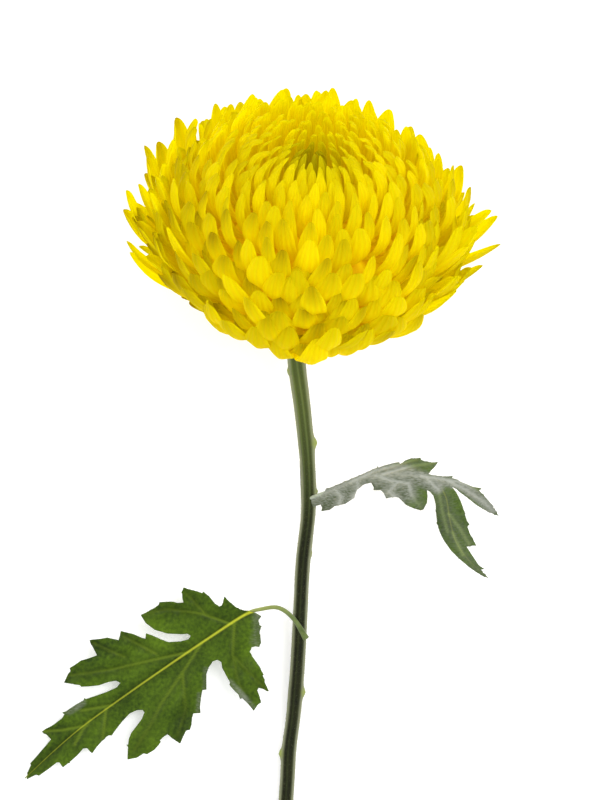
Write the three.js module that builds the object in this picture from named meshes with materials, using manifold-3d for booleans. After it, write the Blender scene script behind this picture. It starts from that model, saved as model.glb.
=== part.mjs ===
// A football mum: one cut stem of a large incurved yellow chrysanthemum, lying on a table.
// Millimetres. +Z is up from the table, +Y runs along the stem towards the head, and the
// origin is on the table under the middle of the flower's bounding box.
import * as THREE from "three";
import { mergeVertices } from "three/addons/utils/BufferGeometryUtils.js";
import Module from "manifold-3d";

const wasm = await Module();
wasm.setup();

// Driving dimensions of the head
const GOLDEN_ANGLE = Math.PI * (3 - Math.sqrt(5));
const NECK = new THREE.Vector3(-0.6, 19.6, 22.4);
const HEAD_TILT = THREE.MathUtils.degToRad(35);
const HEAD_LEAN = THREE.MathUtils.degToRad(-5);
const HEAD_SLANT = 0.13; // the crown faces a little further up from the table than the foot does
const CROWN_HEIGHT = 74;
const GAP = 0.3; // between the leaves and the stem
const SEED = 20;

// Half section of the head, from the eye over the crown and the rim down to the neck:
// distance from the axis, and height above the neck.
const HEAD_SECTION = [
  [0, 71], [3, 71.2], [7, 71.8], [13, 72.4], [22, 72.2], [31, 69.4], [39.5, 64], [46.5, 57],
  [51, 49], [52.5, 41], [49.5, 33.5], [41, 26], [29, 18], [17, 10.3], [9, 6],
];
const TIP_ZONE = 94; // the florets' tips lie on this much of the section, measured from the eye
const RIPE_ARC = 60; // from here outwards the florets have their full size
const FLORETS_MEET = new THREE.Vector2(0, 12); // the place that all florets grow away from
const CORE_SIZE = 0.72; // of the head's section
const CORE_SIDES = 18;

// Floret sizes, at the eye and where they are fully grown
const WIDTH = { eye: 4.8, grown: 9.2 };
const ROW_STEP = { eye: 5.6, grown: 11.2 };
const START = { inside: 0.62, rim: 0.35 }; // where a floret starts on its way out
const SPREAD = 6; // how far the outermost tips stand out
// The following tables give [distance of the tip from the eye, value].
// Lean of a floret's tip away from the head's axis, in degrees:
const LEAN = [
  [0, -40], [8, -64], [14, -72], [20, -60], [28, -38], [38, -20], [50, -10], [70, 4], [84, 28],
  [94, 58],
];
const UPRIGHT_SHARE = 0.4; // how much of an inward lean is missing on the far side of the eye
// How much of a floret points the way its tip does, and how much of that is missing in front, on
// the crown and at the foot of the head:
const REACH = [[0, 0.36], [20, 0.4], [40, 0.52], [60, 0.64], [76, 0.6], [94, 0.44]];
const FRONT_REACH = { crown: 0.08, foot: 0.42 };
// Round the head, [degrees, extra lean in degrees, extra reach in millimetres] of the outer
// florets, which are freer on its left and right than in front:
const FLARE = [
  [0, 32, 5], [45, 8, 0], [90, 0, 0], [150, 24, 5], [190, 32, 6], [212, 30, -3], [235, 10, -9],
  [270, -16, -5], [310, 10, -5], [338, 30, 1], [360, 32, 5],
];
const FREE_FROM = 38; // the flare begins this far from the eye and is full after FREE_OVER more
const FREE_OVER = 26;
const FOOT_FROM = 76; // likewise for the florets at the foot of the head
const FOOT_OVER = 14;
const FOOT_SHARE = 0.5; // of an inward flare is missing there
const FOOT_HANG = 5; // how much further the florets at the foot reach in front, over the stem
const FAN = 9; // how far the tips in front swing away from the middle

// A floret's cross section is a triangle: its half width, how deep its face sags and how high its
// back rises, at stations along it. Half widths are shares of the floret's own.
const FLORET_STATIONS = [0, 0.45, 0.8, 1];
const FLORET_WIDTHS = [0.6, 1, 0.9, 0];
const FLORET_DEPTH = { share: 0.12, sag: 0.5, back: 0.55 }; // of its width, and at least
const CORNER_RADIUS = 2 / Math.sqrt(3); // of a triangle, per half of its width

// The stem: its route from below the head to the cut end, its thickness and its scars
const STEM_TOP = -2.3; // height of its top in the head's own frame
const STEM_ROUTE = [
  [1.0, -5, 14.2], [2.5, -22, 10.9], [2.6, -36, 9.6], [1.0, -51, 8.4], [0.2, -66, 7.2],
  [-0.6, -83, 6.0], [-2.0, -100, 4.9], [-3.5, -112, 4.3], [-4.5, -128, 3.6], [-8.0, -163, 2.3],
];
const STEM_RADIUS = { top: 2.75, low: 2.25 };
const STEM_RIDGE = 0.07; // depth of its grooves as a share of the radius
const STEM_SIDES = 16;
const STEM_STEPS = 28;
// Leaf scars and sleeping buds: where along Y, to which side (+1 is +X), and how large
const SCARS = [
  { y: 9.5, side: -1, size: 1.3 }, { y: -13.8, side: 1, size: 1.8 }, { y: -48.8, side: 1, size: 0.9 },
  { y: -93, side: 1, size: 1.9 }, { y: -113, side: -1, size: 1.5 },
];

// The cup of bracts under the head, as a half section in the head's own frame
const CUP_SECTION = [[0, -2], [3.3, -2], [7.5, 0.2], [11, 2.6], [13.6, 5.4], [12.8, 6.4], [9, 5], [0, 4.8]];
const CUP_SIDES = 22;
const BRACT_ROWS = [
  { radius: 5.4, height: -1.1, count: 8 }, { radius: 8.4, height: 0.8, count: 10 },
  { radius: 11.2, height: 3, count: 12 },
];
const BRACT = { sunk: 2.2, length: 5.6, thickness: 0.7, rise: 0.5 };
const CUP_SLOPE = { out: 0.79, up: 0.61 }; // along the cup's side
// Room in the head for the cup and the stem, a little larger than both
const CUP_ROOM = [
  [0, -16], [7, -16], [7.5, -3.4], [9, -1.8], [13, 1.6], [16, 5.6], [12.9, 6.9], [8.9, 5.4], [0, 5.2],
];

// Leaves: a plan outline, a midrib and a height above the table for each
const BLADE_THICKNESS = 0.8;
const BLADE_CELL = 6.5; // spacing of the grid that a blade bends on
const BLADE_LOWEST = 0.6; // a blade's middle never comes closer to the table
const PETIOLE_RADIUS = 1.25;
const LOWER_LEAF = {
  midrib: [
    [-12.2, -66.6, 8.6], [-17.6, -68.5, 6.6], [-28.8, -75.8, 4.3], [-41.6, -84.5, 3.6],
    [-54.4, -93.4, 3.4], [-68.8, -105, 2.7], [-88, -121, 0.8],
  ],
  petiole: [[1.2, -76, 7.4], [-1.9, -69.8, 9.6], [-6.7, -66.2, 10.2], [-14.5, -67.2, 7.6]],
  fold: 0.16,
  wave: { height: 1.1, length: 17 },
  outline: [
    [-11.3, -67.7], [-12.2, -65.2], [-17.3, -67.0], [-24.6, -62.8], [-25.9, -65.9], [-31.2, -61.2],
    [-37.4, -59.9], [-37.2, -64.7], [-45.1, -64.4], [-51.2, -68.4], [-44.7, -74.1], [-35.0, -75.4],
    [-41.7, -77.3], [-49.2, -74.5], [-49.7, -76.3], [-57.3, -73.5], [-57.7, -76.4], [-67.2, -76.5],
    [-64.9, -81.3], [-73.9, -85.6], [-75.5, -90.1], [-64.5, -90.8], [-57.6, -90.1], [-60.9, -92.3],
    [-68.9, -94.9], [-68.7, -95.9], [-75.7, -99.7], [-82.7, -105.8], [-79.5, -108.3], [-86.2, -115.9],
    [-87.6, -120.8], [-77.5, -115.4], [-75.8, -117.1], [-68.1, -111.0], [-66.6, -112.6],
    [-60.4, -106.9], [-55.9, -101.5], [-51.9, -98.6], [-53.7, -105.1], [-55.3, -114.3],
    [-49.2, -112.9], [-44.5, -108.6], [-42.6, -106.5], [-38.8, -109.2], [-34.9, -100.5],
    [-32.2, -99.5], [-31.9, -92.5], [-30.2, -87.0], [-27.5, -82.0], [-25.0, -85.2], [-22.9, -90.8],
    [-15.4, -98.8], [-13.0, -96.2], [-14.1, -91.7], [-10.7, -92.8], [-12.4, -87.0], [-16.4, -79.7],
    [-13.0, -77.4], [-13.5, -71.6],
  ],
};
const UPPER_LEAF = {
  midrib: [
    [3.8, -31, 12.2], [9.6, -28.8, 15.5], [15.5, -26.2, 19], [22, -24.1, 21.6], [31.2, -23.4, 23.4],
    [38.3, -24.1, 23], [43.5, -26.6, 21.4], [46.3, -31, 18.6], [47.6, -38, 14.6],
    [49.6, -45, 10.8], [53.6, -50.8, 8.2], [59.6, -56.5, 5.6],
  ],
  petiole: [[2.4, -32, 10.4], [6.5, -30, 13.6], [13.5, -27.2, 17.6]],
  fold: -0.34,
  wave: { height: 0.9, length: 14 },
  outline: [
    [3.0, -31.5], [2.6, -34.9], [6.7, -35.3], [10.2, -33.4], [16.1, -32.3], [17.2, -29.1],
    [20.4, -26.9], [23.1, -28.4], [25.3, -28.2], [27.4, -31.0], [30.8, -30.6], [32.6, -33.0],
    [35.8, -34.9], [38.1, -35.1], [40.3, -31.6], [39.8, -28.7], [42.8, -31.7], [43.1, -37.7],
    [45.0, -43.2], [48.9, -48.8], [54.8, -54.0], [60.2, -56.7], [57.0, -53.1], [52.9, -46.9],
    [56.1, -46.4], [53.2, -40.2], [53.8, -39.5], [50.6, -31.6], [48.0, -27.6], [51.4, -29.1],
    [56.1, -33.4], [63.0, -36.6], [57.2, -28.3], [48.2, -24.0], [39.9, -23.3], [43.5, -19.5],
    [37.9, -18.3], [31.7, -20.1], [24.5, -20.9], [18.4, -24.4], [10.3, -27.4], [5.1, -26.2],
    [3.6, -28.8],
  ],
};

// Where the middle of the whole flower's bounding box lies before it is moved to the origin
const MIDDLE = { x: -12.3, y: -32.25 };

// A small seeded generator, so that the flower is the same each time.
function seeded(seed) {
  let state = seed >>> 0;
  return () => {
    state = (state + 0x6d2b79f5) >>> 0;
    let t = Math.imul(state ^ (state >>> 15), 1 | state);
    t = (t + Math.imul(t ^ (t >>> 7), 61 | t)) ^ t;
    return ((t ^ (t >>> 14)) >>> 0) / 4294967296;
  };
}

const lerp = THREE.MathUtils.lerp;
const smooth = (x) => THREE.MathUtils.smoothstep(x, 0, 1);

// Solids

function toSolid(geometry) {
  const bare = geometry.clone();
  for (const name of Object.keys(bare.attributes)) {
    if (name !== "position") bare.deleteAttribute(name);
  }
  const merged = mergeVertices(bare, 1e-4);
  return new wasm.Manifold(
    new wasm.Mesh({
      numProp: 3,
      vertProperties: new Float32Array(merged.attributes.position.array),
      triVerts: new Uint32Array(merged.index.array),
    }),
  );
}

function toGeometry(solid) {
  const mesh = solid.getMesh();
  const geometry = new THREE.BufferGeometry();
  geometry.setAttribute("position", new THREE.BufferAttribute(mesh.vertProperties, 3));
  geometry.setIndex(new THREE.BufferAttribute(mesh.triVerts, 1));
  geometry.computeVertexNormals();
  return geometry;
}

function joined(solids) {
  return wasm.Manifold.union(solids);
}

// The largest body of a solid: a cut can leave loose scraps, which are dropped.
function mainBody(solid) {
  const bodies = solid.decompose();
  return bodies.reduce((a, b) => (b.volume() > a.volume() ? b : a));
}

// Moves every vertex of a cylinder or cone that stands on the Y axis to place(share, angle, reach):
// share runs from 0 at its foot to 1 at its top, and reach from 0 on its axis to 1 at its skin.
function shaped(geometry, place) {
  const position = geometry.attributes.position;
  const { height, radiusBottom, radiusTop, radius } = geometry.parameters;
  const foot = radiusBottom ?? radius;
  const top = radiusTop ?? 0;
  for (let i = 0; i < position.count; i++) {
    const share = position.getY(i) / height + 0.5;
    const skin = lerp(foot, top, share);
    const distance = Math.hypot(position.getX(i), position.getZ(i));
    const reach = skin > 1e-6 ? distance / skin : 0;
    const p = place(share, Math.atan2(position.getX(i), position.getZ(i)), reach);
    position.setXYZ(i, p.x, p.y, p.z);
  }
  return geometry;
}

// A closed tube along a curve. radiusAt(share, angle) gives its skin.
function tube(curve, sides, steps, radiusAt) {
  const frames = curve.computeFrenetFrames(steps, false);
  const geometry = new THREE.CylinderGeometry(1, 1, 1, sides, steps);
  return shaped(geometry, (share, angle, reach) => {
    const step = Math.round(share * steps);
    const away = new THREE.Vector3()
      .addScaledVector(frames.normals[step], Math.cos(angle))
      .addScaledVector(frames.binormals[step], Math.sin(angle))
      .multiplyScalar(reach * radiusAt(share, angle));
    const p = curve.getPointAt(share).add(away);
    return p;
  });
}

// The head's own frame: the axis leans back from the table and a little to the side.
const headFrame = new THREE.Matrix4()
  .makeTranslation(NECK)
  .multiply(new THREE.Matrix4().makeRotationZ(HEAD_LEAN))
  .multiply(new THREE.Matrix4().makeRotationX(HEAD_TILT - Math.PI / 2));

// A point given round the head's axis. Heights grow towards the table's side of the crown.
function onHead(radius, height, azimuth) {
  const y = radius * Math.sin(azimuth);
  const slanted = height + HEAD_SLANT * y * (height / CROWN_HEIGHT) ** 2;
  return new THREE.Vector3(radius * Math.cos(azimuth), y, slanted).applyMatrix4(headFrame);
}

// The head's section as a smooth curve that can be asked for its point at a distance from the eye.
const section = new THREE.SplineCurve(HEAD_SECTION.map(([r, h]) => new THREE.Vector2(r, h)));
const SECTION_LENGTH = section.getLength();
const sectionAt = (arc) => section.getPointAt(THREE.MathUtils.clamp(arc / SECTION_LENGTH, 0, 1));

// How much of the way from the eye to full size an arc position is, and a size there.
const ripeness = (arc) => smooth(arc / RIPE_ARC);
const grown = (size, arc) => lerp(size.eye, size.grown, ripeness(arc));

// The value of a table at a place, read between its rows.
function lookUp(table, place, column = 1) {
  const next = table.findIndex((row) => row[0] > place);
  if (next < 0) return table.at(-1)[column];
  const [before, after] = [table[next - 1], table[next]];
  return lerp(before[column], after[column], (place - before[0]) / (after[0] - before[0]));
}

// Arc positions of the tips, from the eye outwards. Each floret covers a cell of the head as
// large as its width times its row's step, so the head is covered evenly.
function tipArcs() {
  const slice = 0.1;
  const arcs = [];
  let filled = 0;
  for (let arc = slice / 2; arc < TIP_ZONE; arc += slice) {
    const cell = grown(WIDTH, arc) * grown(ROW_STEP, arc);
    filled += (2 * Math.PI * sectionAt(arc).x * slice) / cell;
    if (filled > arcs.length + 0.5) arcs.push(arc);
  }
  return arcs;
}

// One ray floret: a scoop whose back faces out. It grows away from the head's heart along a
// curve that turns up, or in over the eye, so that its tip leans by the angle given above.
function floret(tipArc, azimuth, random) {
  const draw = (low, high) => lerp(low, high, random());
  const outer = smooth((tipArc / TIP_ZONE - 0.6) / 0.4);
  const free = smooth((tipArc - FREE_FROM) / FREE_OVER);
  const foot = smooth((tipArc - FOOT_FROM) / FOOT_OVER);
  const front = Math.max(0, -Math.sin(azimuth));
  const turn = THREE.MathUtils.euclideanModulo(THREE.MathUtils.radToDeg(azimuth), 360);
  const flare = (column) => {
    const full = free * lookUp(FLARE, turn, column);
    return full < 0 ? full * (1 - FOOT_SHARE * foot) : full;
  };
  const onSection = sectionAt(tipArc);
  const outwards = onSection.clone().sub(FLORETS_MEET);
  const flareReach = flare(2) * draw(0.4, 1.3);
  const hang = FOOT_HANG * foot * front ** 3;
  const stretch = draw(-1, 2) + SPREAD * outer * draw(-0.1, 1.2) + flareReach + hang;
  const tip = onSection.clone().addScaledVector(outwards, stretch / outwards.length());
  const start = FLORETS_MEET.clone().addScaledVector(outwards, lerp(START.inside, START.rim, outer));
  const inward = lookUp(LEAN, tipArc);
  const upright = inward < 0 ? 1 - UPRIGHT_SHARE * Math.max(0, Math.sin(azimuth)) : 1;
  const flareLean = flare(1) * draw(0.7, 1.2);
  const lean = THREE.MathUtils.degToRad(inward * upright + flareLean + draw(-7, 7) * (1 + outer));
  const frontReach = 1 - lerp(FRONT_REACH.crown, FRONT_REACH.foot, foot) * free * front;
  const reach = lookUp(REACH, tipArc) * tip.distanceTo(start) * frontReach;
  const control = new THREE.Vector2(tip.x - reach * Math.sin(lean), tip.y - reach * Math.cos(lean));
  const line = new THREE.QuadraticBezierCurve(start, control, tip);
  const width = grown(WIDTH, tipArc) * draw(0.95, 1.15);
  const roll = draw(-0.25, 0.25);
  const swing = draw(-1.5, 1.5) + FAN * front * Math.cos(azimuth) * ripeness(tipArc);
  const sag = Math.max(FLORET_DEPTH.sag, width * FLORET_DEPTH.share);
  const back = Math.max(FLORET_DEPTH.back, width * FLORET_DEPTH.share);
  const last = FLORET_STATIONS.length - 1;
  const cone = new THREE.ConeGeometry(1, 1, 3, last);
  return shaped(cone, (share, angle, reachOut) => {
    const station = Math.round(share * last);
    const u = FLORET_STATIONS[station];
    const place = line.getPoint(u);
    const along = line.getTangent(u);
    const half = (FLORET_WIDTHS[station] * width * CORNER_RADIUS) / 2;
    const flat = Math.sin(angle) * half * reachOut;
    const depth = Math.cos(angle) > 0 ? back : -sag;
    const thick = station === last ? 0 : depth * reachOut;
    const across = flat * Math.cos(roll * u) + thick * Math.sin(roll * u) + swing * u * u;
    const out = thick * Math.cos(roll * u) - flat * Math.sin(roll * u);
    const middle = onHead(place.x + along.y * out, place.y - along.x * out, azimuth);
    const sideways = new THREE.Vector3(-Math.sin(azimuth), Math.cos(azimuth), 0);
    return middle.addScaledVector(sideways.transformDirection(headFrame), across);
  });
}

// Turns a half section round the head's axis.
function lathedOnHead(profile, segments) {
  const points = profile.map(([r, h]) => new THREE.Vector2(r, h));
  const turned = new THREE.LatheGeometry(points, segments);
  const position = turned.attributes.position;
  for (let i = 0; i < position.count; i++) {
    const [x, y] = [position.getX(i), -position.getZ(i)];
    const p = onHead(Math.hypot(x, y), position.getY(i), Math.atan2(y, x));
    position.setXYZ(i, p.x, p.y, p.z);
  }
  return toSolid(turned);
}

// The crowded heart of the head, which every floret stands out of.
function core() {
  const profile = [[0, 5.4], [9, 5.6]];
  for (const arc of [96, 88, 78, 66, 53, 40, 27, 14]) {
    const onSection = sectionAt(arc).sub(FLORETS_MEET);
    const { x, y } = onSection.multiplyScalar(CORE_SIZE).add(FLORETS_MEET);
    profile.push([x, y]);
  }
  profile.push([0, lerp(FLORETS_MEET.y, HEAD_SECTION[0][1], CORE_SIZE)]);
  return lathedOnHead(profile, CORE_SIDES);
}

const table = toSolid(new THREE.BoxGeometry(600, 600, 60).translate(0, 0, -30));

function bloom() {
  const random = seeded(SEED);
  const solids = [core()];
  tipArcs().forEach((arc, i) => {
    const wobble = (random() - 0.5) * 0.08;
    const tip = Math.max(1.5, arc + (random() - 0.5) * grown(ROW_STEP, arc) * 0.3);
    solids.push(toSolid(floret(tip, i * GOLDEN_ANGLE + wobble, random)));
  });
  const cupRoom = lathedOnHead(CUP_ROOM, CUP_SIDES + 4);
  return mainBody(joined(solids).subtract(cupRoom).subtract(table));
}

function involucre() {
  const solids = [lathedOnHead(CUP_SECTION, CUP_SIDES)];
  BRACT_ROWS.forEach(({ radius, height, count }, row) => {
    for (let i = 0; i < count; i++) {
      const azimuth = ((i + row / 2) / count) * 2 * Math.PI;
      const half = (Math.PI * radius) / count;
      const bract = shaped(new THREE.ConeGeometry(1, 1, 3, 1), (share, angle, reach) => {
        const along = BRACT.length * share - BRACT.sunk;
        const across = Math.sin(angle) * half * reach;
        const out = Math.cos(angle) * BRACT.thickness * reach + BRACT.rise * share;
        const r = radius + along * CUP_SLOPE.out + out * CUP_SLOPE.up;
        return onHead(r, height + along * CUP_SLOPE.up - out * CUP_SLOPE.out, azimuth + across / r);
      });
      solids.push(toSolid(bract));
    }
  });
  return mainBody(joined(solids));
}

// The stem's curve, from its top to the cut end.
const stemRoute = new THREE.CatmullRomCurve3([
  onHead(0, STEM_TOP, 0),
  onHead(0, STEM_TOP - 6, 0),
  ...STEM_ROUTE.map((p) => new THREE.Vector3(...p)),
]);

function stemTube(extra) {
  return toSolid(
    tube(stemRoute, STEM_SIDES, STEM_STEPS, (share, angle) => {
      const radius = lerp(STEM_RADIUS.top, STEM_RADIUS.low, smooth(share * 3)) + extra;
      const groove = Math.cos((STEM_SIDES / 2) * angle) * STEM_RIDGE * (extra > 0 ? 0 : 1);
      return radius * (1 + groove);
    }),
  );
}

// The point of the stem's axis at a given Y.
function stemAt(y) {
  const points = stemRoute.getSpacedPoints(400);
  return points.reduce((a, b) => (Math.abs(b.y - y) < Math.abs(a.y - y) ? b : a));
}

function stem() {
  const scars = SCARS.map(({ y, side, size }) => {
    const bud = new THREE.SphereGeometry(size, 6, 5);
    bud.scale(0.8, 1.2, 0.9);
    const centre = stemAt(y);
    bud.translate(centre.x + side * (STEM_RADIUS.low - 0.1), centre.y, centre.z);
    return toSolid(bud);
  });
  return mainBody(joined([stemTube(0), ...scars]).subtract(table));
}

// A thin sheet over a flat triangulated grid, with both faces split alike and walls round its edge.
function sheet(grid, heightAt) {
  const flat = grid.attributes.position;
  const count = flat.count;
  const points = [];
  for (const side of [0.5, -0.5]) {
    for (let i = 0; i < count; i++) {
      const [x, y] = [flat.getX(i), flat.getY(i)];
      points.push(x, y, heightAt(x, y) + side * BLADE_THICKNESS);
    }
  }
  const triangles = [];
  const edges = new Map();
  const index = grid.index.array;
  for (let t = 0; t < index.length; t += 3) {
    const [a, b, c] = [index[t], index[t + 1], index[t + 2]];
    triangles.push(a, b, c, a + count, c + count, b + count);
    for (const [from, to] of [[a, b], [b, c], [c, a]]) {
      if (!edges.delete(`${to},${from}`)) edges.set(`${from},${to}`, [from, to]);
    }
  }
  for (const [from, to] of edges.values()) {
    triangles.push(from, from + count, to, to, from + count, to + count);
  }
  const geometry = new THREE.BufferGeometry();
  geometry.setAttribute("position", new THREE.Float32BufferAttribute(points, 3));
  geometry.setIndex(triangles);
  return toSolid(geometry);
}

// A lobed leaf: its outline cut out of a sheet that is folded along the midrib and waved,
// with the petiole fused on and the rib standing out below.
function leaf({ midrib, petiole, fold, wave, outline }, away) {
  const rib = new THREE.CatmullRomCurve3(midrib.map((p) => new THREE.Vector3(...p)));
  const ribPoints = rib.getSpacedPoints(80);
  const heightAt = (x, y) => {
    let nearest = ribPoints[0];
    let best = Infinity;
    for (const p of ribPoints) {
      const distance = Math.hypot(p.x - x, p.y - y);
      if (distance < best) [nearest, best] = [p, distance];
    }
    const ripple = Math.sin(((x - y) / wave.length) * 2 * Math.PI) * wave.height * smooth(best / 14);
    return Math.max(BLADE_LOWEST, nearest.z + fold * best * (1 - best / 90) + ripple);
  };
  const shape = new THREE.Shape(outline.map(([x, y]) => new THREE.Vector2(x, y)));
  const box = new THREE.Box2().setFromPoints(shape.getPoints());
  const middle = box.getCenter(new THREE.Vector2());
  const slant = Math.atan2(midrib.at(-1)[1] - midrib[0][1], midrib.at(-1)[0] - midrib[0][0]);
  const reach = box.getSize(new THREE.Vector2()).length() + BLADE_CELL;
  const cells = Math.ceil(reach / BLADE_CELL);
  const grid = new THREE.PlaneGeometry(reach, reach, cells, cells);
  grid.rotateZ(slant).translate(middle.x, middle.y, 0);
  const prism = new THREE.ExtrudeGeometry(shape, { depth: 60, bevelEnabled: false, curveSegments: 1 });
  const blade = sheet(grid, heightAt).intersect(toSolid(prism.translate(0, 0, -5)));
  const stalk = new THREE.CatmullRomCurve3(petiole.map((p) => new THREE.Vector3(...p)));
  const stalkSolid = toSolid(tube(stalk, 8, 8, () => PETIOLE_RADIUS));
  return mainBody(blade.add(stalkSolid).subtract(away).subtract(table));
}

function piece(name, solid, color, roughness) {
  const material = new THREE.MeshStandardMaterial({ color, roughness, metalness: 0 });
  const mesh = new THREE.Mesh(toGeometry(solid), material);
  mesh.name = name;
  return mesh;
}

const nearStem = stemTube(GAP);
const flower = new THREE.Group();
flower.add(
  piece("bloom", bloom(), 0xeed600, 0.55),
  piece("involucre", involucre(), 0x6f8f3a, 0.7),
  piece("stem", stem(), 0x5d7338, 0.7),
  piece("leaf_lower", leaf(LOWER_LEAF, nearStem), 0x4f7d16, 0.6),
  piece("leaf_upper", leaf(UPPER_LEAF, nearStem), 0x6c8a45, 0.65),
);
flower.position.set(-MIDDLE.x, -MIDDLE.y, 0);
export default flower;
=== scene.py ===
# %% [markdown]
# # A football mum in Blender
# A football mum is a chrysanthemum grown to one huge bloom of several hundred florets. This
# lesson dresses a plain solid model of one cut flower: the same head, stem and leaves, with
# thin florets, veins, down and colour. Everything is in metres, lies on the table at z = 0
# and points with its bloom towards +Y.

import math
import random

import bmesh
import bpy
import numpy as np
from mathutils import Matrix, Vector, noise


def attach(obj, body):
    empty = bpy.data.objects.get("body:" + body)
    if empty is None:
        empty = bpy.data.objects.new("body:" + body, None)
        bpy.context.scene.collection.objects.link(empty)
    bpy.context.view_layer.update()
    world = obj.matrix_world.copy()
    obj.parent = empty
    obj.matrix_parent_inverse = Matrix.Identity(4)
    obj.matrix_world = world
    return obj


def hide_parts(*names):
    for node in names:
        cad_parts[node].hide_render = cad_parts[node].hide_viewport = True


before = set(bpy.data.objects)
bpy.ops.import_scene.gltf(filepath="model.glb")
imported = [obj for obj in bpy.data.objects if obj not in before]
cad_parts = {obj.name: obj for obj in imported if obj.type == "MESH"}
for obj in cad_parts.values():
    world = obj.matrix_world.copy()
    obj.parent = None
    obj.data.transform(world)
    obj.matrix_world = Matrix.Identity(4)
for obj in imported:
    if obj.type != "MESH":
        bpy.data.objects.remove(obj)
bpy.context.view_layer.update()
MM = 0.001

# %% [markdown]
# ## Where the flower lies
# The solid model was drawn with its own zero point at the middle of the view from above and
# then moved so that its bounding box is centred. The scene repeats that move, so all the
# places below are in millimetres from the drawing's zero point.

# %% The flower's place and the tilt of its head
DRAWING_TO_ROW = Vector((12.3, 32.25, 0))
NECK = Vector((-0.6, 19.6, 22.4))
HEAD_TILT = math.radians(35)
HEAD_LEAN = math.radians(-5)
HEAD_SLANT = 0.13  # the head's crown faces a little more towards the camera than its foot
CROWN_HEIGHT = 74

head_frame = (
    Matrix.Translation(NECK)
    @ Matrix.Rotation(HEAD_LEAN, 4, "Z")
    @ Matrix.Rotation(HEAD_TILT - math.pi / 2, 4, "X")
)


def row(point):
    """A point of the drawing, in millimetres, as a point of the row frame, in metres."""
    return (Vector(point) + DRAWING_TO_ROW) * MM


def on_head(radius, height, azimuth):
    """A point given round the head's own axis, as a point of the drawing."""
    x, y = radius * math.cos(azimuth), radius * math.sin(azimuth)
    local = Vector((x, y, height + HEAD_SLANT * y * (height / CROWN_HEIGHT) ** 2))
    return head_frame @ local


def lerp(a, b, share):
    return a + (b - a) * share


def smooth(x):
    x = min(max(x, 0.0), 1.0)
    return x * x * (3 - 2 * x)


print("head axis points to", tuple(round(c, 2) for c in head_frame.to_3x3() @ Vector((0, 0, 1))))

# %% [markdown]
# ## The head's half section
# The bloom is nearly a ball with a dimple at the eye. Drawing only half of its section and
# turning it round the axis is easier than modelling the ball, and every floret can then be
# placed by one number: how far along the section its tip lies from the eye. The curve is a
# Catmull-Rom spline, which passes through all its points.

# %% The section as a smooth curve
HEAD_SECTION = [
    (0, 71), (3, 71.2), (7, 71.8), (13, 72.4), (22, 72.2), (31, 69.4), (39.5, 64), (46.5, 57),
    (51, 49), (52.5, 41), (49.5, 33.5), (41, 26), (29, 18), (17, 10.3), (9, 6),
]  # fmt: skip
SECTION_STEPS = 24  # samples between two points of the section


def spline(points, steps):
    """Points on a Catmull-Rom spline through the given ones."""
    given = np.array(points, float)
    padded = np.vstack([given[0], given, given[-1]])
    samples = []
    for a, b, c, d in zip(padded, padded[1:], padded[2:], padded[3:]):
        for t in np.arange(steps) / steps:
            bend = (2 * a - 5 * b + 4 * c - d) * t * t + (3 * b - 3 * c + d - a) * t**3
            samples.append(b + 0.5 * ((c - a) * t + bend))
    return np.array(samples + [given[-1]])


section = spline(HEAD_SECTION, SECTION_STEPS)
section_arc = np.concatenate([[0], np.cumsum(np.linalg.norm(np.diff(section, axis=0), axis=1))])


def section_at(arc):
    """The distance from the axis and the height of the section that far from the eye."""
    return np.array([np.interp(arc, section_arc, column) for column in section.T])


print(f"half section {section_arc[-1]:.0f} mm long, {2 * section[:, 0].max():.0f} mm across")

# %% [markdown]
# ## Where the florets stand
# New florets grow at the eye, each turned from the last by the golden angle, 137.5 degrees.
# That rule gives the shingled spirals of every daisy and sunflower, and it never lines two
# neighbours up. The florets get wider and their rows further apart towards the rim, so the
# rule walks outwards from the eye and drops a tip each time another cell's area has passed.

# %% Tips of the florets
GOLDEN_ANGLE = math.pi * (3 - math.sqrt(5))
TIP_ZONE = 94  # the tips lie on this much of the section, in millimetres from the eye
RIPE_ARC = 60  # from here outwards the florets have their full size
WIDTH = (2.5, 8.0)  # of a floret, at the eye and fully grown
ROW_STEP = (3.2, 8.6)
SLICE = 0.1  # of the section, in millimetres, for adding up its area
random_floret = random.Random(11)


def grown(size, arc):
    """A size at that arc position, between its value at the eye and its full value."""
    return lerp(*size, smooth(arc / RIPE_ARC))


def tip_arcs():
    """How far from the eye each tip lies, counted in cells of one floret's area."""
    arcs = []
    filled = 0.0
    for arc in np.arange(SLICE / 2, TIP_ZONE, SLICE):
        cell = grown(WIDTH, arc) * grown(ROW_STEP, arc)
        filled += 2 * math.pi * section_at(arc)[0] * SLICE / cell
        if filled > len(arcs) + 0.5:
            arcs.append(arc)
    return arcs


tips = tip_arcs()
print(len(tips), "florets")

# %% [markdown]
# ## The bend of a floret
# Seen from the side, a ray floret bends like a Bezier curve: it starts inside the head, is
# drawn towards a control point and ends at its tip. The control point lies below the tip, so
# the tip points the way that the tables below give: towards the eye near the middle, up on
# the crown, outwards at the rim. Drawing each bend by hand would take days. Tables that are
# read between their entries give every floret its own bend, and the outer ones are freer on
# the head's left and right than in front, over the stem.

# %% The bend of a floret
FLORETS_MEET = np.array([0, 12])  # the place in the section that all florets grow away from
START = (0.5, 0.2)  # where a floret starts on its way out, inside the head and at its rim
OUTER_FROM = 0.6  # the rim's florets begin at this share of the tip zone
# Lean of a floret's tip away from the head's axis, in degrees, by how far it is from the eye
LEAN_ARC = [0, 8, 14, 20, 28, 38, 50, 70, 84, 94]
LEAN = [-40, -64, -72, -60, -38, -20, -10, 4, 28, 58]
UPRIGHT_SHARE = 0.4  # how much of an inward lean is missing on the far side of the eye
UNEVEN_LEAN = 9  # degrees, and twice that at the rim
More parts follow.
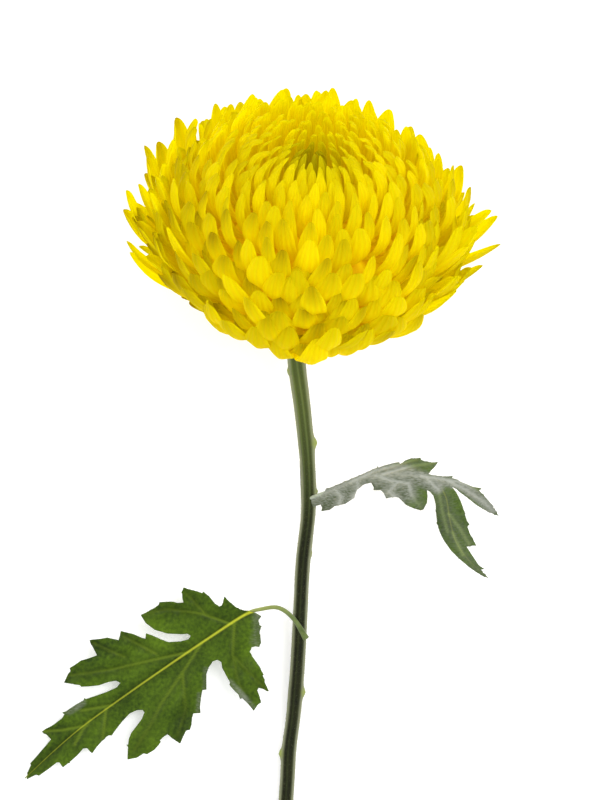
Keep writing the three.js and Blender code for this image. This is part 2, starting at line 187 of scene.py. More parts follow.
# Round the head, in degrees: how much more the outer florets lean, and reach in millimetres
FLARE_ROUND = [0, 45, 90, 150, 190, 212, 235, 270, 310, 338, 360]
FLARE_LEAN = [32, 8, 0, 24, 32, 30, 10, -16, 10, 30, 32]
FLARE_REACH = [5, 0, 0, 5, 6, -3, -9, -5, -5, 1, 5]
FREE_FROM = 38  # this flare begins so far from the eye and is full after FREE_OVER more
FREE_OVER = 26
FOOT_FROM = 76  # likewise for the florets at the foot of the head
FOOT_OVER = 14
FOOT_SHARE = 0.5  # of an inward flare is missing there
FOOT_HANG = -1  # how much further the lowest florets reach in front, in millimetres
REACH_ARC = [0, 20, 40, 60, 76, 94]
REACH = [0.36, 0.4, 0.52, 0.64, 0.6, 0.44]  # how much of a floret points the way its tip does
FRONT_REACH = (0.08, 0.52)  # how much of that is missing in front, and at the very foot
UNEVEN_TIPS = (1.5, 3)  # how far tips stand out by chance, at the eye and fully grown
SPREAD = 6  # how far the outermost tips stand out, in millimetres
# Chance takes a share of each of these between the two values:
TIPS_RANGE, SPREAD_RANGE = (-0.5, 1), (-0.2, 1.2)
FLARE_REACH_RANGE, FLARE_LEAN_RANGE = (0.4, 1.4), (0.6, 1.3)


def rim_share(tip_arc):
    """From 0 for the florets of the crown to 1 for the outermost ones."""
    return smooth((tip_arc / TIP_ZONE - OUTER_FROM) / (1 - OUTER_FROM))


def front_share(azimuth):
    """From 0 on the head's far half to 1 in front, over the stem."""
    return max(0, -math.sin(azimuth))


def flare_at(table, azimuth, free, lowest):
    """The extra lean or reach of a floret that stands this way round the head."""
    flare = np.interp(math.degrees(azimuth) % 360, FLARE_ROUND, table)
    return free * flare * (1 - FOOT_SHARE * lowest if flare < 0 else 1)


def floret_bend(tip_arc, azimuth, sunk):
    """Start, control point and tip of a floret, as points of the half section."""
    draw = random_floret.uniform
    outer = rim_share(tip_arc)
    front = front_share(azimuth)
    free = smooth((tip_arc - FREE_FROM) / FREE_OVER)
    lowest = smooth((tip_arc - FOOT_FROM) / FOOT_OVER)
    on_section = section_at(tip_arc)
    outwards = on_section - FLORETS_MEET
    stretch = draw(*TIPS_RANGE) * lerp(*UNEVEN_TIPS, smooth(tip_arc / RIPE_ARC))
    stretch += SPREAD * outer * draw(*SPREAD_RANGE)
    extra_reach = flare_at(FLARE_REACH, azimuth, free, lowest)
    stretch += extra_reach * draw(*FLARE_REACH_RANGE) + FOOT_HANG * lowest * front**3
    tip = on_section + outwards / np.linalg.norm(outwards) * (stretch - sunk)
    start = FLORETS_MEET + outwards * lerp(*START, outer)
    lean = np.interp(tip_arc, LEAN_ARC, LEAN)
    if lean < 0:
        lean *= 1 - UPRIGHT_SHARE * max(0, math.sin(azimuth))
    lean += draw(-UNEVEN_LEAN, UNEVEN_LEAN) * (1 + outer)
    extra_lean = flare_at(FLARE_LEAN, azimuth, free, lowest)
    lean = math.radians(lean + extra_lean * draw(*FLARE_LEAN_RANGE))
    reach = np.interp(tip_arc, REACH_ARC, REACH) * np.linalg.norm(tip - start)
    reach *= 1 - lerp(*FRONT_REACH, lowest) * free * front
    return start, tip - reach * np.array([math.sin(lean), math.cos(lean)]), tip


print("tips lean by", min(LEAN), "to", max(LEAN), "degrees")

# %% [markdown]
# ## One floret
# Seen from its face, a floret is a long scoop, its edges curled towards the eye and its blunt
# tip hooked over. It could be sculpted once and scattered, but then all would be alike. Here
# each starts as a flat grid whose vertices are moved by a formula, so that its width, curl
# and twist can all differ a little. The grid has few faces, because it is repeated hundreds
# of times: the Subdivision Surface modifier rounds it afterwards. Four values stay with each
# vertex for the material: `depth` (0 at the tip, 1 at the base), `tone`, `age` (0 at the eye)
# and `shade`, for the painted shade in dull olive near the tips, strongest on the side of the
# head that is turned from the light.

# %% The outline of a floret
ACROSS_FACES = 6
ALONG_FACES = 9
BASE_WIDTH = 0.78  # as a share of the full width
WIDEST_AT = 0.5  # as a share of the length
ROUNDING_FROM = 0.62  # the tip's rounding starts here, and would close it after ROUNDING_OVER
ROUNDING_OVER = 0.42
TABLE_CLEARANCE = 0.25
TABLE_SOFT = 2.0  # whatever is lower than this bends away from the table


def width_share(u):
    """Width of a floret at the share u of its length, as a share of its full width."""
    opening = lerp(BASE_WIDTH, 1, smooth(u / WIDEST_AT))
    rounding = max(0.0, (u - ROUNDING_FROM) / ROUNDING_OVER)
    return opening * math.sqrt(1 - rounding * rounding)


def above_table(point):
    """Presses a point that would sink into the table flat against it, without a crease."""
    if point.z < TABLE_SOFT:
        give = TABLE_SOFT - TABLE_CLEARANCE
        point.z = TABLE_CLEARANCE + give * math.exp((point.z - TABLE_SOFT) / give)
    return point


print(f"a floret's tip is {width_share(1):.2f} of its full width")

# %% A floret
WIDTH_RANGE = (0.85, 1.25)  # chance takes a share of the width between these
CURL = (0.9, 1.2)  # half angle of the scoop, at its base and near its tip
CURL_RANGE = (0.7, 1.1)
CURLED_BY = 1.2  # the curl is full after one part in so many of the length
RIM_CURL = 0.75  # of that, at the rim
HOOK = (1.0, 2.0)  # how far a tip bends over, at the eye and at the rim
HOOK_RANGE = (0.2, 1.6)
HOOK_FROM = 0.75  # as a share of the length
TIP_ARCH = 0.05  # how much shorter a floret is at its edges than in its middle
KEEL = 0.1  # height of the lengthwise ridges on a floret's back, as a share of its half width
FAN = 9  # how far the tips in front swing away from the middle, in millimetres
UNEVEN_SWING = 3  # and by chance
UNEVEN_SWAY = 1.2  # how far a floret's middle is pushed sideways, in millimetres
UNEVEN_ROLL = 0.5  # how far its tip is twisted
SHADED_SIDE = math.radians(215)  # the side of the head that is turned from the light
LIT_SHADE = 0.5  # how much shade is left on the other side
SHADE_RANGE = (0.1, 1.15)
head_turn = head_frame.to_3x3()


def add_floret(bm, tip_arc, azimuth, layers, sunk=0.0):
    """A floret with its tip there, or so many millimetres deeper in the head."""
    start, control, tip = floret_bend(tip_arc, azimuth, sunk)
    draw = random_floret.uniform
    ripe = smooth(tip_arc / RIPE_ARC)
    width = grown(WIDTH, tip_arc) * draw(*WIDTH_RANGE)
    hook = lerp(*HOOK, ripe) * draw(*HOOK_RANGE)
    fan = FAN * front_share(azimuth) * math.cos(azimuth)
    swing = (draw(-UNEVEN_SWING, UNEVEN_SWING) + fan) * ripe
    sway = draw(-UNEVEN_SWAY, UNEVEN_SWAY) * ripe
    roll = draw(-UNEVEN_ROLL, UNEVEN_ROLL)
    curl_scale = draw(*CURL_RANGE) * lerp(1, RIM_CURL, rim_share(tip_arc))
    tone = draw(0, 1)
    turned_away = max(0, math.cos(azimuth - SHADED_SIDE))
    # painted shade near the tip, stronger on the side of the head turned from the light
    shade = draw(*SHADE_RANGE) * lerp(LIT_SHADE, 1, turned_away) * ripe
    sideways = head_turn @ Vector((-math.sin(azimuth), math.cos(azimuth), 0))
    grid = bmesh.ops.create_grid(
        bm, x_segments=ACROSS_FACES, y_segments=ALONG_FACES, size=0.5, calc_uvs=True
    )
    for vertex in grid["verts"]:
        side = vertex.co.x * 2
        u = vertex.co.y + 0.5
        near_tip = smooth((u - HOOK_FROM) / (1 - HOOK_FROM))
        along = u - TIP_ARCH * side * side * near_tip
        place = (1 - along) ** 2 * start + 2 * along * (1 - along) * control + along**2 * tip
        slope = (1 - along) * (control - start) + along * (tip - control)
        slope_r, slope_h = slope / np.linalg.norm(slope)
        curl = lerp(*CURL, smooth(u * CURLED_BY)) * curl_scale
        half = width_share(u) * width / 2
        scoop = half * (1 - math.cos(side * curl)) / math.sin(curl)
        across = half * math.sin(side * curl) / math.sin(curl)
        tilt = roll * u
        across, scoop = (
            across * math.cos(tilt) - scoop * math.sin(tilt),
            scoop * math.cos(tilt) + across * math.sin(tilt),
        )
        ridge = half * KEEL * math.cos(side * math.tau) * math.sin(math.pi * u)
        out = ridge - scoop - hook * near_tip**2
        across += sway * math.sin(math.pi * u) + swing * u * u
        radius = place[0] + slope_h * out
        height = place[1] - slope_r * out
        vertex.co = row(above_table(on_head(radius, height, azimuth) + sideways * across))
        vertex[layers["depth"]] = 1 - u
        vertex[layers["tone"]] = tone
        vertex[layers["age"]] = tip_arc / TIP_ZONE
        vertex[layers["shade"]] = shade


print("one floret:", ACROSS_FACES * ALONG_FACES, "faces")

# %% [markdown]
# ## Florets by the hundred
# One mesh with all florets would be slow to edit, and one object for each would be slow to
# draw. So they are gathered in whorls, from the eye to the rim. A last whorl stands a little
# deeper in the head, its spiral turned from that of the others, and fills the gaps between
# them. Hardly any of it shows, so it goes without the rounding.

# %% Helpers for meshes


def float_layers(bm, *names):
    """Layers that keep a value for each vertex, under these names."""
    return {name: bm.verts.layers.float.new(name) for name in names}


def finish_mesh(bm, name, body="root"):
    """Makes an object of a bmesh, smooth-shaded, that rides on the flower's body."""
    mesh = bpy.data.meshes.new(name)
    bm.to_mesh(mesh)
    bm.free()
    mesh.shade_smooth()
    piece = bpy.data.objects.new(name, mesh)
    bpy.context.scene.collection.objects.link(piece)
    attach(piece, body)
    return piece


def add_modifier(piece, name, kind, **settings):
    modifier = piece.modifiers.new(name, kind)
    for key, value in settings.items():
        setattr(modifier, key, value)
    return modifier


print("mesh helpers are ready")

# %% Whorls of florets
FLORET_THICKNESS = 0.38
WHORLS = {
    "florets_eye": (0, 28), "florets_inner": (28, 46), "florets_crown": (46, 68),
    "florets_rim": (68, 200),
}  # fmt: skip
BEHIND_FROM = 44  # the last whorl begins this far from the eye
BEHIND_SUNK = 4.5  # how far its tips stay behind, in millimetres
BEHIND_TURN = 1.0  # how far its spiral is turned, in radians
UNEVEN_ROWS = 0.25  # how far tips are moved along the section, as a share of a row
UNEVEN_TURN = 0.05  # and round the head, in radians
INNERMOST = 1.2  # no tip is closer to the eye, in millimetres


def add_whorl(name, places, sunk=0.0):
    """One piece with a floret at each place, given as its tip's arc position and azimuth."""
    bm = bmesh.new()
    layers = float_layers(bm, "depth", "tone", "age", "shade")
    bm.loops.layers.uv.new("UVMap")
    for tip_arc, azimuth in places:
        add_floret(bm, tip_arc, azimuth, layers, sunk)
    piece = finish_mesh(bm, name)
    add_modifier(piece, "thickness", "SOLIDIFY", thickness=FLORET_THICKNESS * MM, offset=0)
    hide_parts("bloom")
    print(name, len(piece.data.polygons) // (ACROSS_FACES * ALONG_FACES), "florets")
    return piece


places = []
for number, arc in enumerate(tips):
    arc += grown(ROW_STEP, arc) * random_floret.uniform(-UNEVEN_ROWS, UNEVEN_ROWS)
    turn = number * GOLDEN_ANGLE + random_floret.uniform(-UNEVEN_TURN, UNEVEN_TURN)
    places.append((max(INNERMOST, arc), turn))

florets = []
for whorl, (low, high) in WHORLS.items():
    florets.append(add_whorl(whorl, [place for place in places if low <= place[0] < high]))
    add_modifier(florets[-1], "rounding", "SUBSURF", levels=1, render_levels=1)
behind = [(arc, azimuth + BEHIND_TURN) for arc, azimuth in places if arc > BEHIND_FROM]
florets.append(add_whorl("florets_behind", behind, BEHIND_SUNK))

# %% [markdown]
# ## The heart of the head
# Behind the florets their crowded bases hide everything. A turned body with the same section,
# a little smaller, closes the gaps. It is painted a darker gold than the florets: painted
# shade, with the light that has come through them, and a weak glow for the light bounced
# between them. One `spin` of the half section makes it; its ends lie on the axis, so it
# closes itself. Ribs that wind up its side stand for the bases, and their height also drives
# the colour: between them the gold is darker, painted shade.

# %% Turn the heart
HEART_FOOT = [(0, 5.4), (9, 5.6)]  # radius and height of the heart's flat lower end
HEART_START = 96  # from here its section follows the head's own, up to the eye
HEART_STEPS = 14
HEART_SIZE = 0.68  # of the head's section
HEART_SEGMENTS = 240
HEART_RIBS = 34
RIB_HEIGHT = 0.035  # as a share of the heart's radius
RIB_TWIST = 0.012  # turn of the ribs per millimetre of height
WELD = 1e-6  # vertices closer than this become one


def spun_body(profile, segments):
    """The closed body that a half section makes when it is turned round the head's axis."""
    bm = bmesh.new()
    rim = [bm.verts.new((r, 0, h)) for r, h in profile]
    edges = [bm.edges.new(pair) for pair in zip(rim, rim[1:])]
    bmesh.ops.spin(
        bm, geom=rim + edges, cent=(0, 0, 0), axis=(0, 0, 1), angle=math.tau,
        steps=segments, use_merge=True, use_duplicate=False,
    )  # fmt: skip
    bmesh.ops.remove_doubles(bm, verts=bm.verts, dist=WELD)
    bmesh.ops.recalc_face_normals(bm, faces=bm.faces)
    return bm


heart_profile = list(HEART_FOOT)
for arc in np.linspace(HEART_START, 0, HEART_STEPS):
    heart_profile.append(FLORETS_MEET + (section_at(arc) - FLORETS_MEET) * HEART_SIZE)
heart_profile[-1][0] = 0

bm = spun_body(heart_profile, HEART_SEGMENTS)
rib_layer = float_layers(bm, "rib")["rib"]
for vertex in bm.verts:
    x, y, height = vertex.co
    azimuth = math.atan2(y, x)
    rib = math.cos(HEART_RIBS * (azimuth + RIB_TWIST * height))
    vertex[rib_layer] = 0.5 + 0.5 * rib
    radius = math.hypot(x, y) * (1 + RIB_HEIGHT * rib)
    vertex.co = row(above_table(on_head(radius, height, azimuth)))
heart = finish_mesh(bm, "floret_bases")
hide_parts("bloom")
print("heart:", len(heart.data.polygons), "faces")

# %% [markdown]
# ## The cup of bracts
# Under the head sits the involucre, a shallow green cup of overlapping scales that held the
# bud closed. The cup itself is turned like the heart, and the scales are small grids bent to
# a point, row over row, like roof tiles.

# %% Cup and bracts
CUP_SECTION = [
    (0, -2), (3.3, -2), (7.5, 0.2), (11, 2.6), (13.6, 5.4), (12.8, 6.4), (9, 5), (0, 4.8),
]  # fmt: skip
CUP_SEGMENTS = 40
CUP_SLOPE = (0.79, 0.61)  # outwards and upwards, along the cup's side
BRACT_ROWS = [(5.4, -1.1, 8), (8.4, 0.8, 10), (11.2, 3.0, 12)]  # radius, height, count
BRACT_FACES = (4, 6)  # across and along one bract
BRACT_LENGTH = 5.6
BRACT_THICKNESS = 0.35
BRACT_OVERLAP = 1.35  # a bract's width, as a share of its room in the row
BRACT_FOOT = 0.25  # how much of a bract lies below its row, as a share of its length
BRACT_LIFT = (0.25, 0.9, 0.5)  # off the cup: at its foot, how much more at its tip, less at edges
BRACT_POINT = (2.2, 0.86)  # how late and how far a bract narrows

bm = spun_body(CUP_SECTION, CUP_SEGMENTS)
for vertex in bm.verts:
    vertex.co = row(head_frame @ vertex.co)
bm.loops.layers.uv.new("UVMap")
for row_number, (radius, height, count) in enumerate(BRACT_ROWS):
    for i in range(count):
        azimuth = (i + row_number / 2) / count * math.tau
        half = math.pi * radius / count * BRACT_OVERLAP
        bract = bmesh.ops.create_grid(
            bm, x_segments=BRACT_FACES[0], y_segments=BRACT_FACES[1], size=0.5, calc_uvs=True
        )
        for vertex in bract["verts"]:
            side = vertex.co.x * 2
            u = vertex.co.y + 0.5
            along = BRACT_LENGTH * (u - BRACT_FOOT)
            across = half * side * (1 - u ** BRACT_POINT[0] * BRACT_POINT[1])
            out = BRACT_LIFT[0] + BRACT_LIFT[1] * u - BRACT_LIFT[2] * side * side
            r = radius + along * CUP_SLOPE[0] + out * CUP_SLOPE[1]
            h = height + along * CUP_SLOPE[1] - out * CUP_SLOPE[0]
            vertex.co = row(on_head(r, h, azimuth + across / r))
cup = finish_mesh(bm, "bracts")
add_modifier(cup, "thickness", "SOLIDIFY", thickness=BRACT_THICKNESS * MM, offset=0)
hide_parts("involucre")
print("bracts:", len(cup.data.polygons), "faces")

# %% [markdown]
# ## The stem
# The stem is a long ridged tube. A curve with a bevel would be quick, but a grid rolled up
# into a tube keeps its own UV map: across the grid becomes round the stem, and along stays
# along, so the grooves, the pale lines and the down can all follow it. Four values stay with
# each vertex for the material: `ridge`, `scar`, `side` (the stem's edges, where the down's
# sheen is painted) and `young`.

# %% Roll up the stem
STEM_TOP = -2.3
STEM_ROUTE = [
    (1.0, -5, 14.2), (2.5, -22, 10.9), (2.6, -36, 9.6), (1.0, -51, 8.4), (0.2, -66, 7.2),
    (-0.6, -83, 6.0), (-2.0, -100, 4.9), (-3.5, -112, 4.3), (-4.5, -128, 3.6), (-8.0, -163, 2.45),
]  # fmt: skip
STEM_STRAIGHT = 6  # the stem's top runs so far along the head's own axis
STEM_STEPS = 30  # samples between two points of the route
STEM_RADIUS = (2.8, 2.3)
THINNING = 3  # the stem has its lower radius after one part in so many of its length
STEM_RIDGES = 9
RIDGE_DEPTH = (0.95, 0.075)  # as shares of the radius: in the grooves, and more on the ridges
RIDGE_WANDER = (1.5, 2.4)  # how far the ridges wind round the stem, and how often
SKIN_WANDER = (0.08, 30)  # height of the skin's unevenness, and how fine it is
# Leaf scars and sleeping buds: place along Y, side (1 is +X) and size
SCARS = [
    (9.5, -1, 1.1), (-13.8, 1, 1.7), (-29.2, 1, 0.9), (-48.8, 1, 0.8), (-93, 1, 1.6),
    (-113, -1, 1.5),
]  # fmt: skip
SCAR_HEIGHT = 0.6  # of a scar's swelling, for its size
SCAR_LENGTH = 0.9
NODE_HEIGHT = 0.05  # the stem is a little thicker all round at a scar
NODE_LENGTH = 4.5

stem_start = [on_head(0, STEM_TOP, 0), on_head(0, STEM_TOP - STEM_STRAIGHT, 0)]
stem_line = spline(stem_start + [Vector(p) for p in STEM_ROUTE], STEM_STEPS)
stem_arc = np.concatenate([[0], np.cumsum(np.linalg.norm(np.diff(stem_line, axis=0), axis=1))])
stem_tangent = np.gradient(stem_line, stem_arc, axis=0)


def stem_at(share):
    """(centre, sideways and upward directions) of the stem at a share of its length."""
    arc = share * stem_arc[-1]
    centre = Vector([np.interp(arc, stem_arc, column) for column in stem_line.T])
    along = Vector([np.interp(arc, stem_arc, column) for column in stem_tangent.T]).normalized()
    sideways = along.cross(Vector((0, 0, 1))).normalized()
    return centre, sideways, sideways.cross(along)


def scar_swell(centre, direction):
    """How far the stem swells round its leaf scars and buds, in millimetres."""
    swell = 0.0
    for y, side, size in SCARS:
        facing = max(0.0, direction.x * side) ** 4
        bump = math.exp(-(((centre.y - y) / (SCAR_LENGTH * size)) ** 2))
        swell += SCAR_HEIGHT * size * facing * bump
        swell += NODE_HEIGHT * size * math.exp(-(((centre.y - y) / NODE_LENGTH) ** 2))
    return swell


def stem_radius(share):
    return lerp(*STEM_RADIUS, smooth(share * THINNING))


def close_tube(bm):
    """Sews up a tube that was rolled from a grid, and closes its two ends."""
    bmesh.ops.remove_doubles(bm, verts=bm.verts, dist=WELD)
    bmesh.ops.holes_fill(bm, edges=[e for e in bm.edges if e.is_boundary])
    bmesh.ops.recalc_face_normals(bm, faces=bm.faces)


print(f"stem {stem_arc[-1]:.0f} mm long")

# %% Skin of the stem
STEM_ROUND_FACES = 72
STEM_LONG_FACES = 180
SIDE_FROM = 0.5  # the painted sheen of the down begins where the skin turns so far sideways
SIDE_OVER = 0.45
YOUNG_PART = 0.385  # the upper part of the stem that is a fresher green
SCAR_COLOUR = (0.15, 0.5)  # swelling at which a scar's colour begins, and what it takes to fill it

bm = bmesh.new()
bm.loops.layers.uv.new("UVMap")
layers = float_layers(bm, "ridge", "scar", "side", "young")
tube = bmesh.ops.create_grid(
    bm, x_segments=STEM_ROUND_FACES, y_segments=STEM_LONG_FACES, size=0.5, calc_uvs=True
)
for vertex in tube["verts"]:
    angle = vertex.co.x * math.tau
    share = 0.5 - vertex.co.y
    centre, sideways, upward = stem_at(share)
    direction = sideways * math.sin(angle) + upward * math.cos(angle)
    winding = RIDGE_WANDER[0] * math.sin(RIDGE_WANDER[1] * share * math.pi)
    ridge = 0.5 + 0.5 * math.cos(STEM_RIDGES * angle + winding)
    swell = scar_swell(centre, direction)
    radius = stem_radius(share) * (RIDGE_DEPTH[0] + RIDGE_DEPTH[1] * ridge) + swell
    wander = SKIN_WANDER[0] * noise.noise(Vector((share * SKIN_WANDER[1], angle, 0)))
    vertex[layers["ridge"]] = ridge
    vertex[layers["side"]] = smooth((abs(math.sin(angle)) - SIDE_FROM) / SIDE_OVER)
    vertex[layers["young"]] = 1 - smooth(share / YOUNG_PART)
    vertex[layers["scar"]] = min(1, max(0, swell - SCAR_COLOUR[0]) / SCAR_COLOUR[1])
    vertex.co = row(above_table(centre + direction * (radius + wander)))
close_tube(bm)
stem = finish_mesh(bm, "stem_skin")
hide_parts("stem")
print("stem:", len(stem.data.polygons), "faces")

# %% [markdown]
# ## Down on the stem
# A chrysanthemum's stem is covered in short pale hairs, which make its edges look grey. A
# particle system would be the usual tool, but it is lost when a model is exported. Here each
# hair is a real tetrahedron of four faces, thin as a hair and rooted just inside the skin.

# %% Grow the down
STEM_HAIRS = 7000
HAIR_LENGTH = (0.35, 0.85)
HAIR_RADIUS = 0.035
HAIR_SLANT = 0.6  # how far a hair leans, along the stem and sideways
HAIR_ROOT = 0.94  # how deep a hair is rooted, as a share of the stem's radius
HAIRY_PART = (0.01, 0.995)  # of the stem's length


def add_hair(bm, root, direction, along, draw):
    """A hair from that root, which stands out that way and leans a little."""
    side = direction.cross(along).normalized()
    lean = along * draw(-HAIR_SLANT, HAIR_SLANT) + side * draw(-HAIR_SLANT, HAIR_SLANT)
    tip = root + (direction + lean).normalized() * draw(*HAIR_LENGTH)
    corners = []
    for turn in range(3):
        angle = turn * math.tau / 3
        corners.append(root + (along * math.cos(angle) + side * math.sin(angle)) * HAIR_RADIUS)
    base = [bm.verts.new(row(above_table(corner))) for corner in corners]
    point = bm.verts.new(row(above_table(tip)))
    bm.faces.new(base)
    for a, b in zip(base, base[1:] + base[:1]):
        bm.faces.new((b, a, point))


random_hair = random.Random(23)
bm = bmesh.new()
for _ in range(STEM_HAIRS):
    share = random_hair.uniform(*HAIRY_PART)
    angle = random_hair.uniform(0, math.tau)
    centre, sideways, upward = stem_at(share)
    direction = sideways * math.sin(angle) + upward * math.cos(angle)
    root = centre + direction * (stem_radius(share) * HAIR_ROOT)
    add_hair(bm, root, direction, sideways.cross(upward), random_hair.uniform)
bmesh.ops.recalc_face_normals(bm, faces=bm.faces)
down = finish_mesh(bm, "stem_down")
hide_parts("stem")
print("down:", STEM_HAIRS, "hairs")

# %% [markdown]
# ## Leaves: outline and veins
# A chrysanthemum leaf is deeply lobed, with a few coarse teeth on each lobe. Its outline is
# the part people recognise, so it is drawn on squared paper: "corner" is the place of
# the paper's upper left corner in millimetres, "square" the size of its squares, and
# "outline" counts squares to the right and down. Midrib and veins are given in millimetres,
# and "turned" lists the lines, each with a width, along which the grey down shows. "downy"
# is the share of down away from these lines and on them. "rib_radius" is that of the raised
# midrib, at its foot and its end, and "rib_share" how much the rib's own colour shows. "fold"
# is how steeply the blade rises from its midrib, and "wave" the height and length of the
# waves at its edge.

# %% Outlines, midribs and veins of the two leaves
LOWER_LEAF = {
    "midrib": [
        (-12.2, -66.6, 8.6), (-17.6, -68.5, 6.6), (-28.8, -75.8, 4.3), (-41.6, -84.5, 3.6),
        (-54.4, -93.4, 3.4), (-68.5, -103.6, 2.7), (-78, -111.6, 1.9), (-88, -121, 0.9),
    ],
    "petiole": [(1.9, -76, 8.2), (-1.9, -69.8, 9.8), (-6.7, -66.2, 10.2), (-12.2, -66.6, 8.6)],
    "rib_radius": (0.75, 0.2),
    "rib_share": 1.0,
    "downy": (0.0, 0.55),
    "fold": 0.2,
    "wave": (1.1, 17),
    "turned": [
        (2.8, [(-12, -70), (-12.2, -74), (-13, -77)]),
        (1.4, [(-22.6, -90.5), (-18.8, -94.5), (-15.6, -98)]),
        (0.9, [(-30, -86), (-30.2, -92)]),
        (0.8, [(-32, -94), (-32.4, -99)]),
        (1.2, [(-74, -99.5), (-69.5, -96.5)]),
    ],
    "corner": (-92.8, -54.4),
    "square": 0.0636,
    "outline": [
        (1262, 225), (1235, 210), (1180, 203), (1150, 193), (1110, 160), (1080, 130), (1075, 155),
        (1068, 178), (1055, 182), (1030, 165), (1000, 130), (975, 105), (968, 113), (940, 105),
        (905, 97), (877, 87), (868, 110), (872, 140), (875, 163), (850, 166), (820, 158),
        (755, 157), (750, 172), (710, 200), (660, 222), (685, 262), (730, 298), (790, 316),
        (860, 320), (895, 318), (912, 330), (900, 348), (860, 358), (800, 360), (760, 345),
        (720, 328), (688, 318), (685, 345), (665, 340), (620, 318), (560, 302), (555, 330),
        (550, 348), (520, 342), (490, 336), (455, 345), (405, 352), (420, 385), (440, 425),
        (400, 440), (360, 452), (325, 478), (303, 492), (307, 505), (290, 530), (275, 562),
        (315, 568), (355, 575), (362, 583), (400, 582), (450, 577), (500, 560), (535, 554),
        (557, 565), (540, 588), (490, 610), (430, 632), (385, 648), (378, 642), (372, 655),
        (330, 680), (285, 710), (268, 715), (278, 725), (265, 745), (220, 780), (165, 812),
        (185, 825), (208, 850), (180, 885), (150, 920), (120, 955), (103, 972), (107, 982),
        (90, 1020), (85, 1050), (130, 1028), (145, 1032), (190, 1000), (235, 965), (250, 965),
        (268, 990), (300, 965), (340, 930), (370, 895), (390, 893), (400, 905), (415, 920),
        (440, 885), (480, 840), (500, 828), (512, 830), (530, 805), (565, 760), (605, 718),
        (640, 702), (668, 700), (678, 712), (665, 745), (635, 785), (612, 815), (600, 845),
        (597, 872), (588, 873), (597, 885), (597, 915), (595, 948), (640, 940), (675, 918),
        (690, 922), (725, 900), (748, 875), (760, 858), (755, 852), (780, 830), (795, 822),
        (815, 838), (857, 865), (870, 830), (885, 800), (905, 795), (912, 770), (915, 735),
        (922, 715), (957, 712), (955, 680), (962, 640), (970, 600), (990, 598), (990, 560),
        (990, 520), (1000, 485), (1020, 455), (1045, 447), (1065, 460), (1070, 490), (1090, 530),
        (1108, 560), (1105, 573), (1125, 595), (1150, 620), (1160, 643), (1172, 640), (1200, 670),
        (1225, 700), (1245, 670), (1262, 658), (1255, 625), (1245, 600), (1252, 588), (1270, 592),
        (1298, 605), (1285, 565), (1272, 525), (1278, 520), (1260, 490), (1235, 455), (1215, 430),
        (1207, 405), (1215, 385), (1235, 380), (1252, 382), (1262, 360), (1258, 330), (1255, 300),
        (1265, 277), (1252, 270), (1250, 245),
    ],
    "veins": [
        [(-22, -71.5), (-32, -68), (-42, -66.8), (-50, -68)],
        [(-30, -68.5), (-36.5, -61.5)],
        [(-35, -80.4), (-48, -83.2), (-60, -86), (-74, -88)],
        [(-46, -81), (-56, -75.5)],
        [(-56, -82), (-66, -77.5)],
        [(-20.9, -70.6), (-21.5, -80.9), (-20, -89), (-17.4, -94.5)],
        [(-21, -82), (-12, -91)],
        [(-31.5, -77.8), (-37.5, -87), (-44.2, -96.8), (-48, -104.2), (-53, -112)],
        [(-37.5, -87), (-36.5, -99), (-39, -107)],
        [(-60, -97.5), (-70, -99.2)],
        [(-68, -104), (-76, -105.5), (-81.5, -105.8)],
        [(-62, -98.4), (-63, -108)],
        [(-67, -102), (-69.5, -105.5), (-72, -110)],
    ],
}
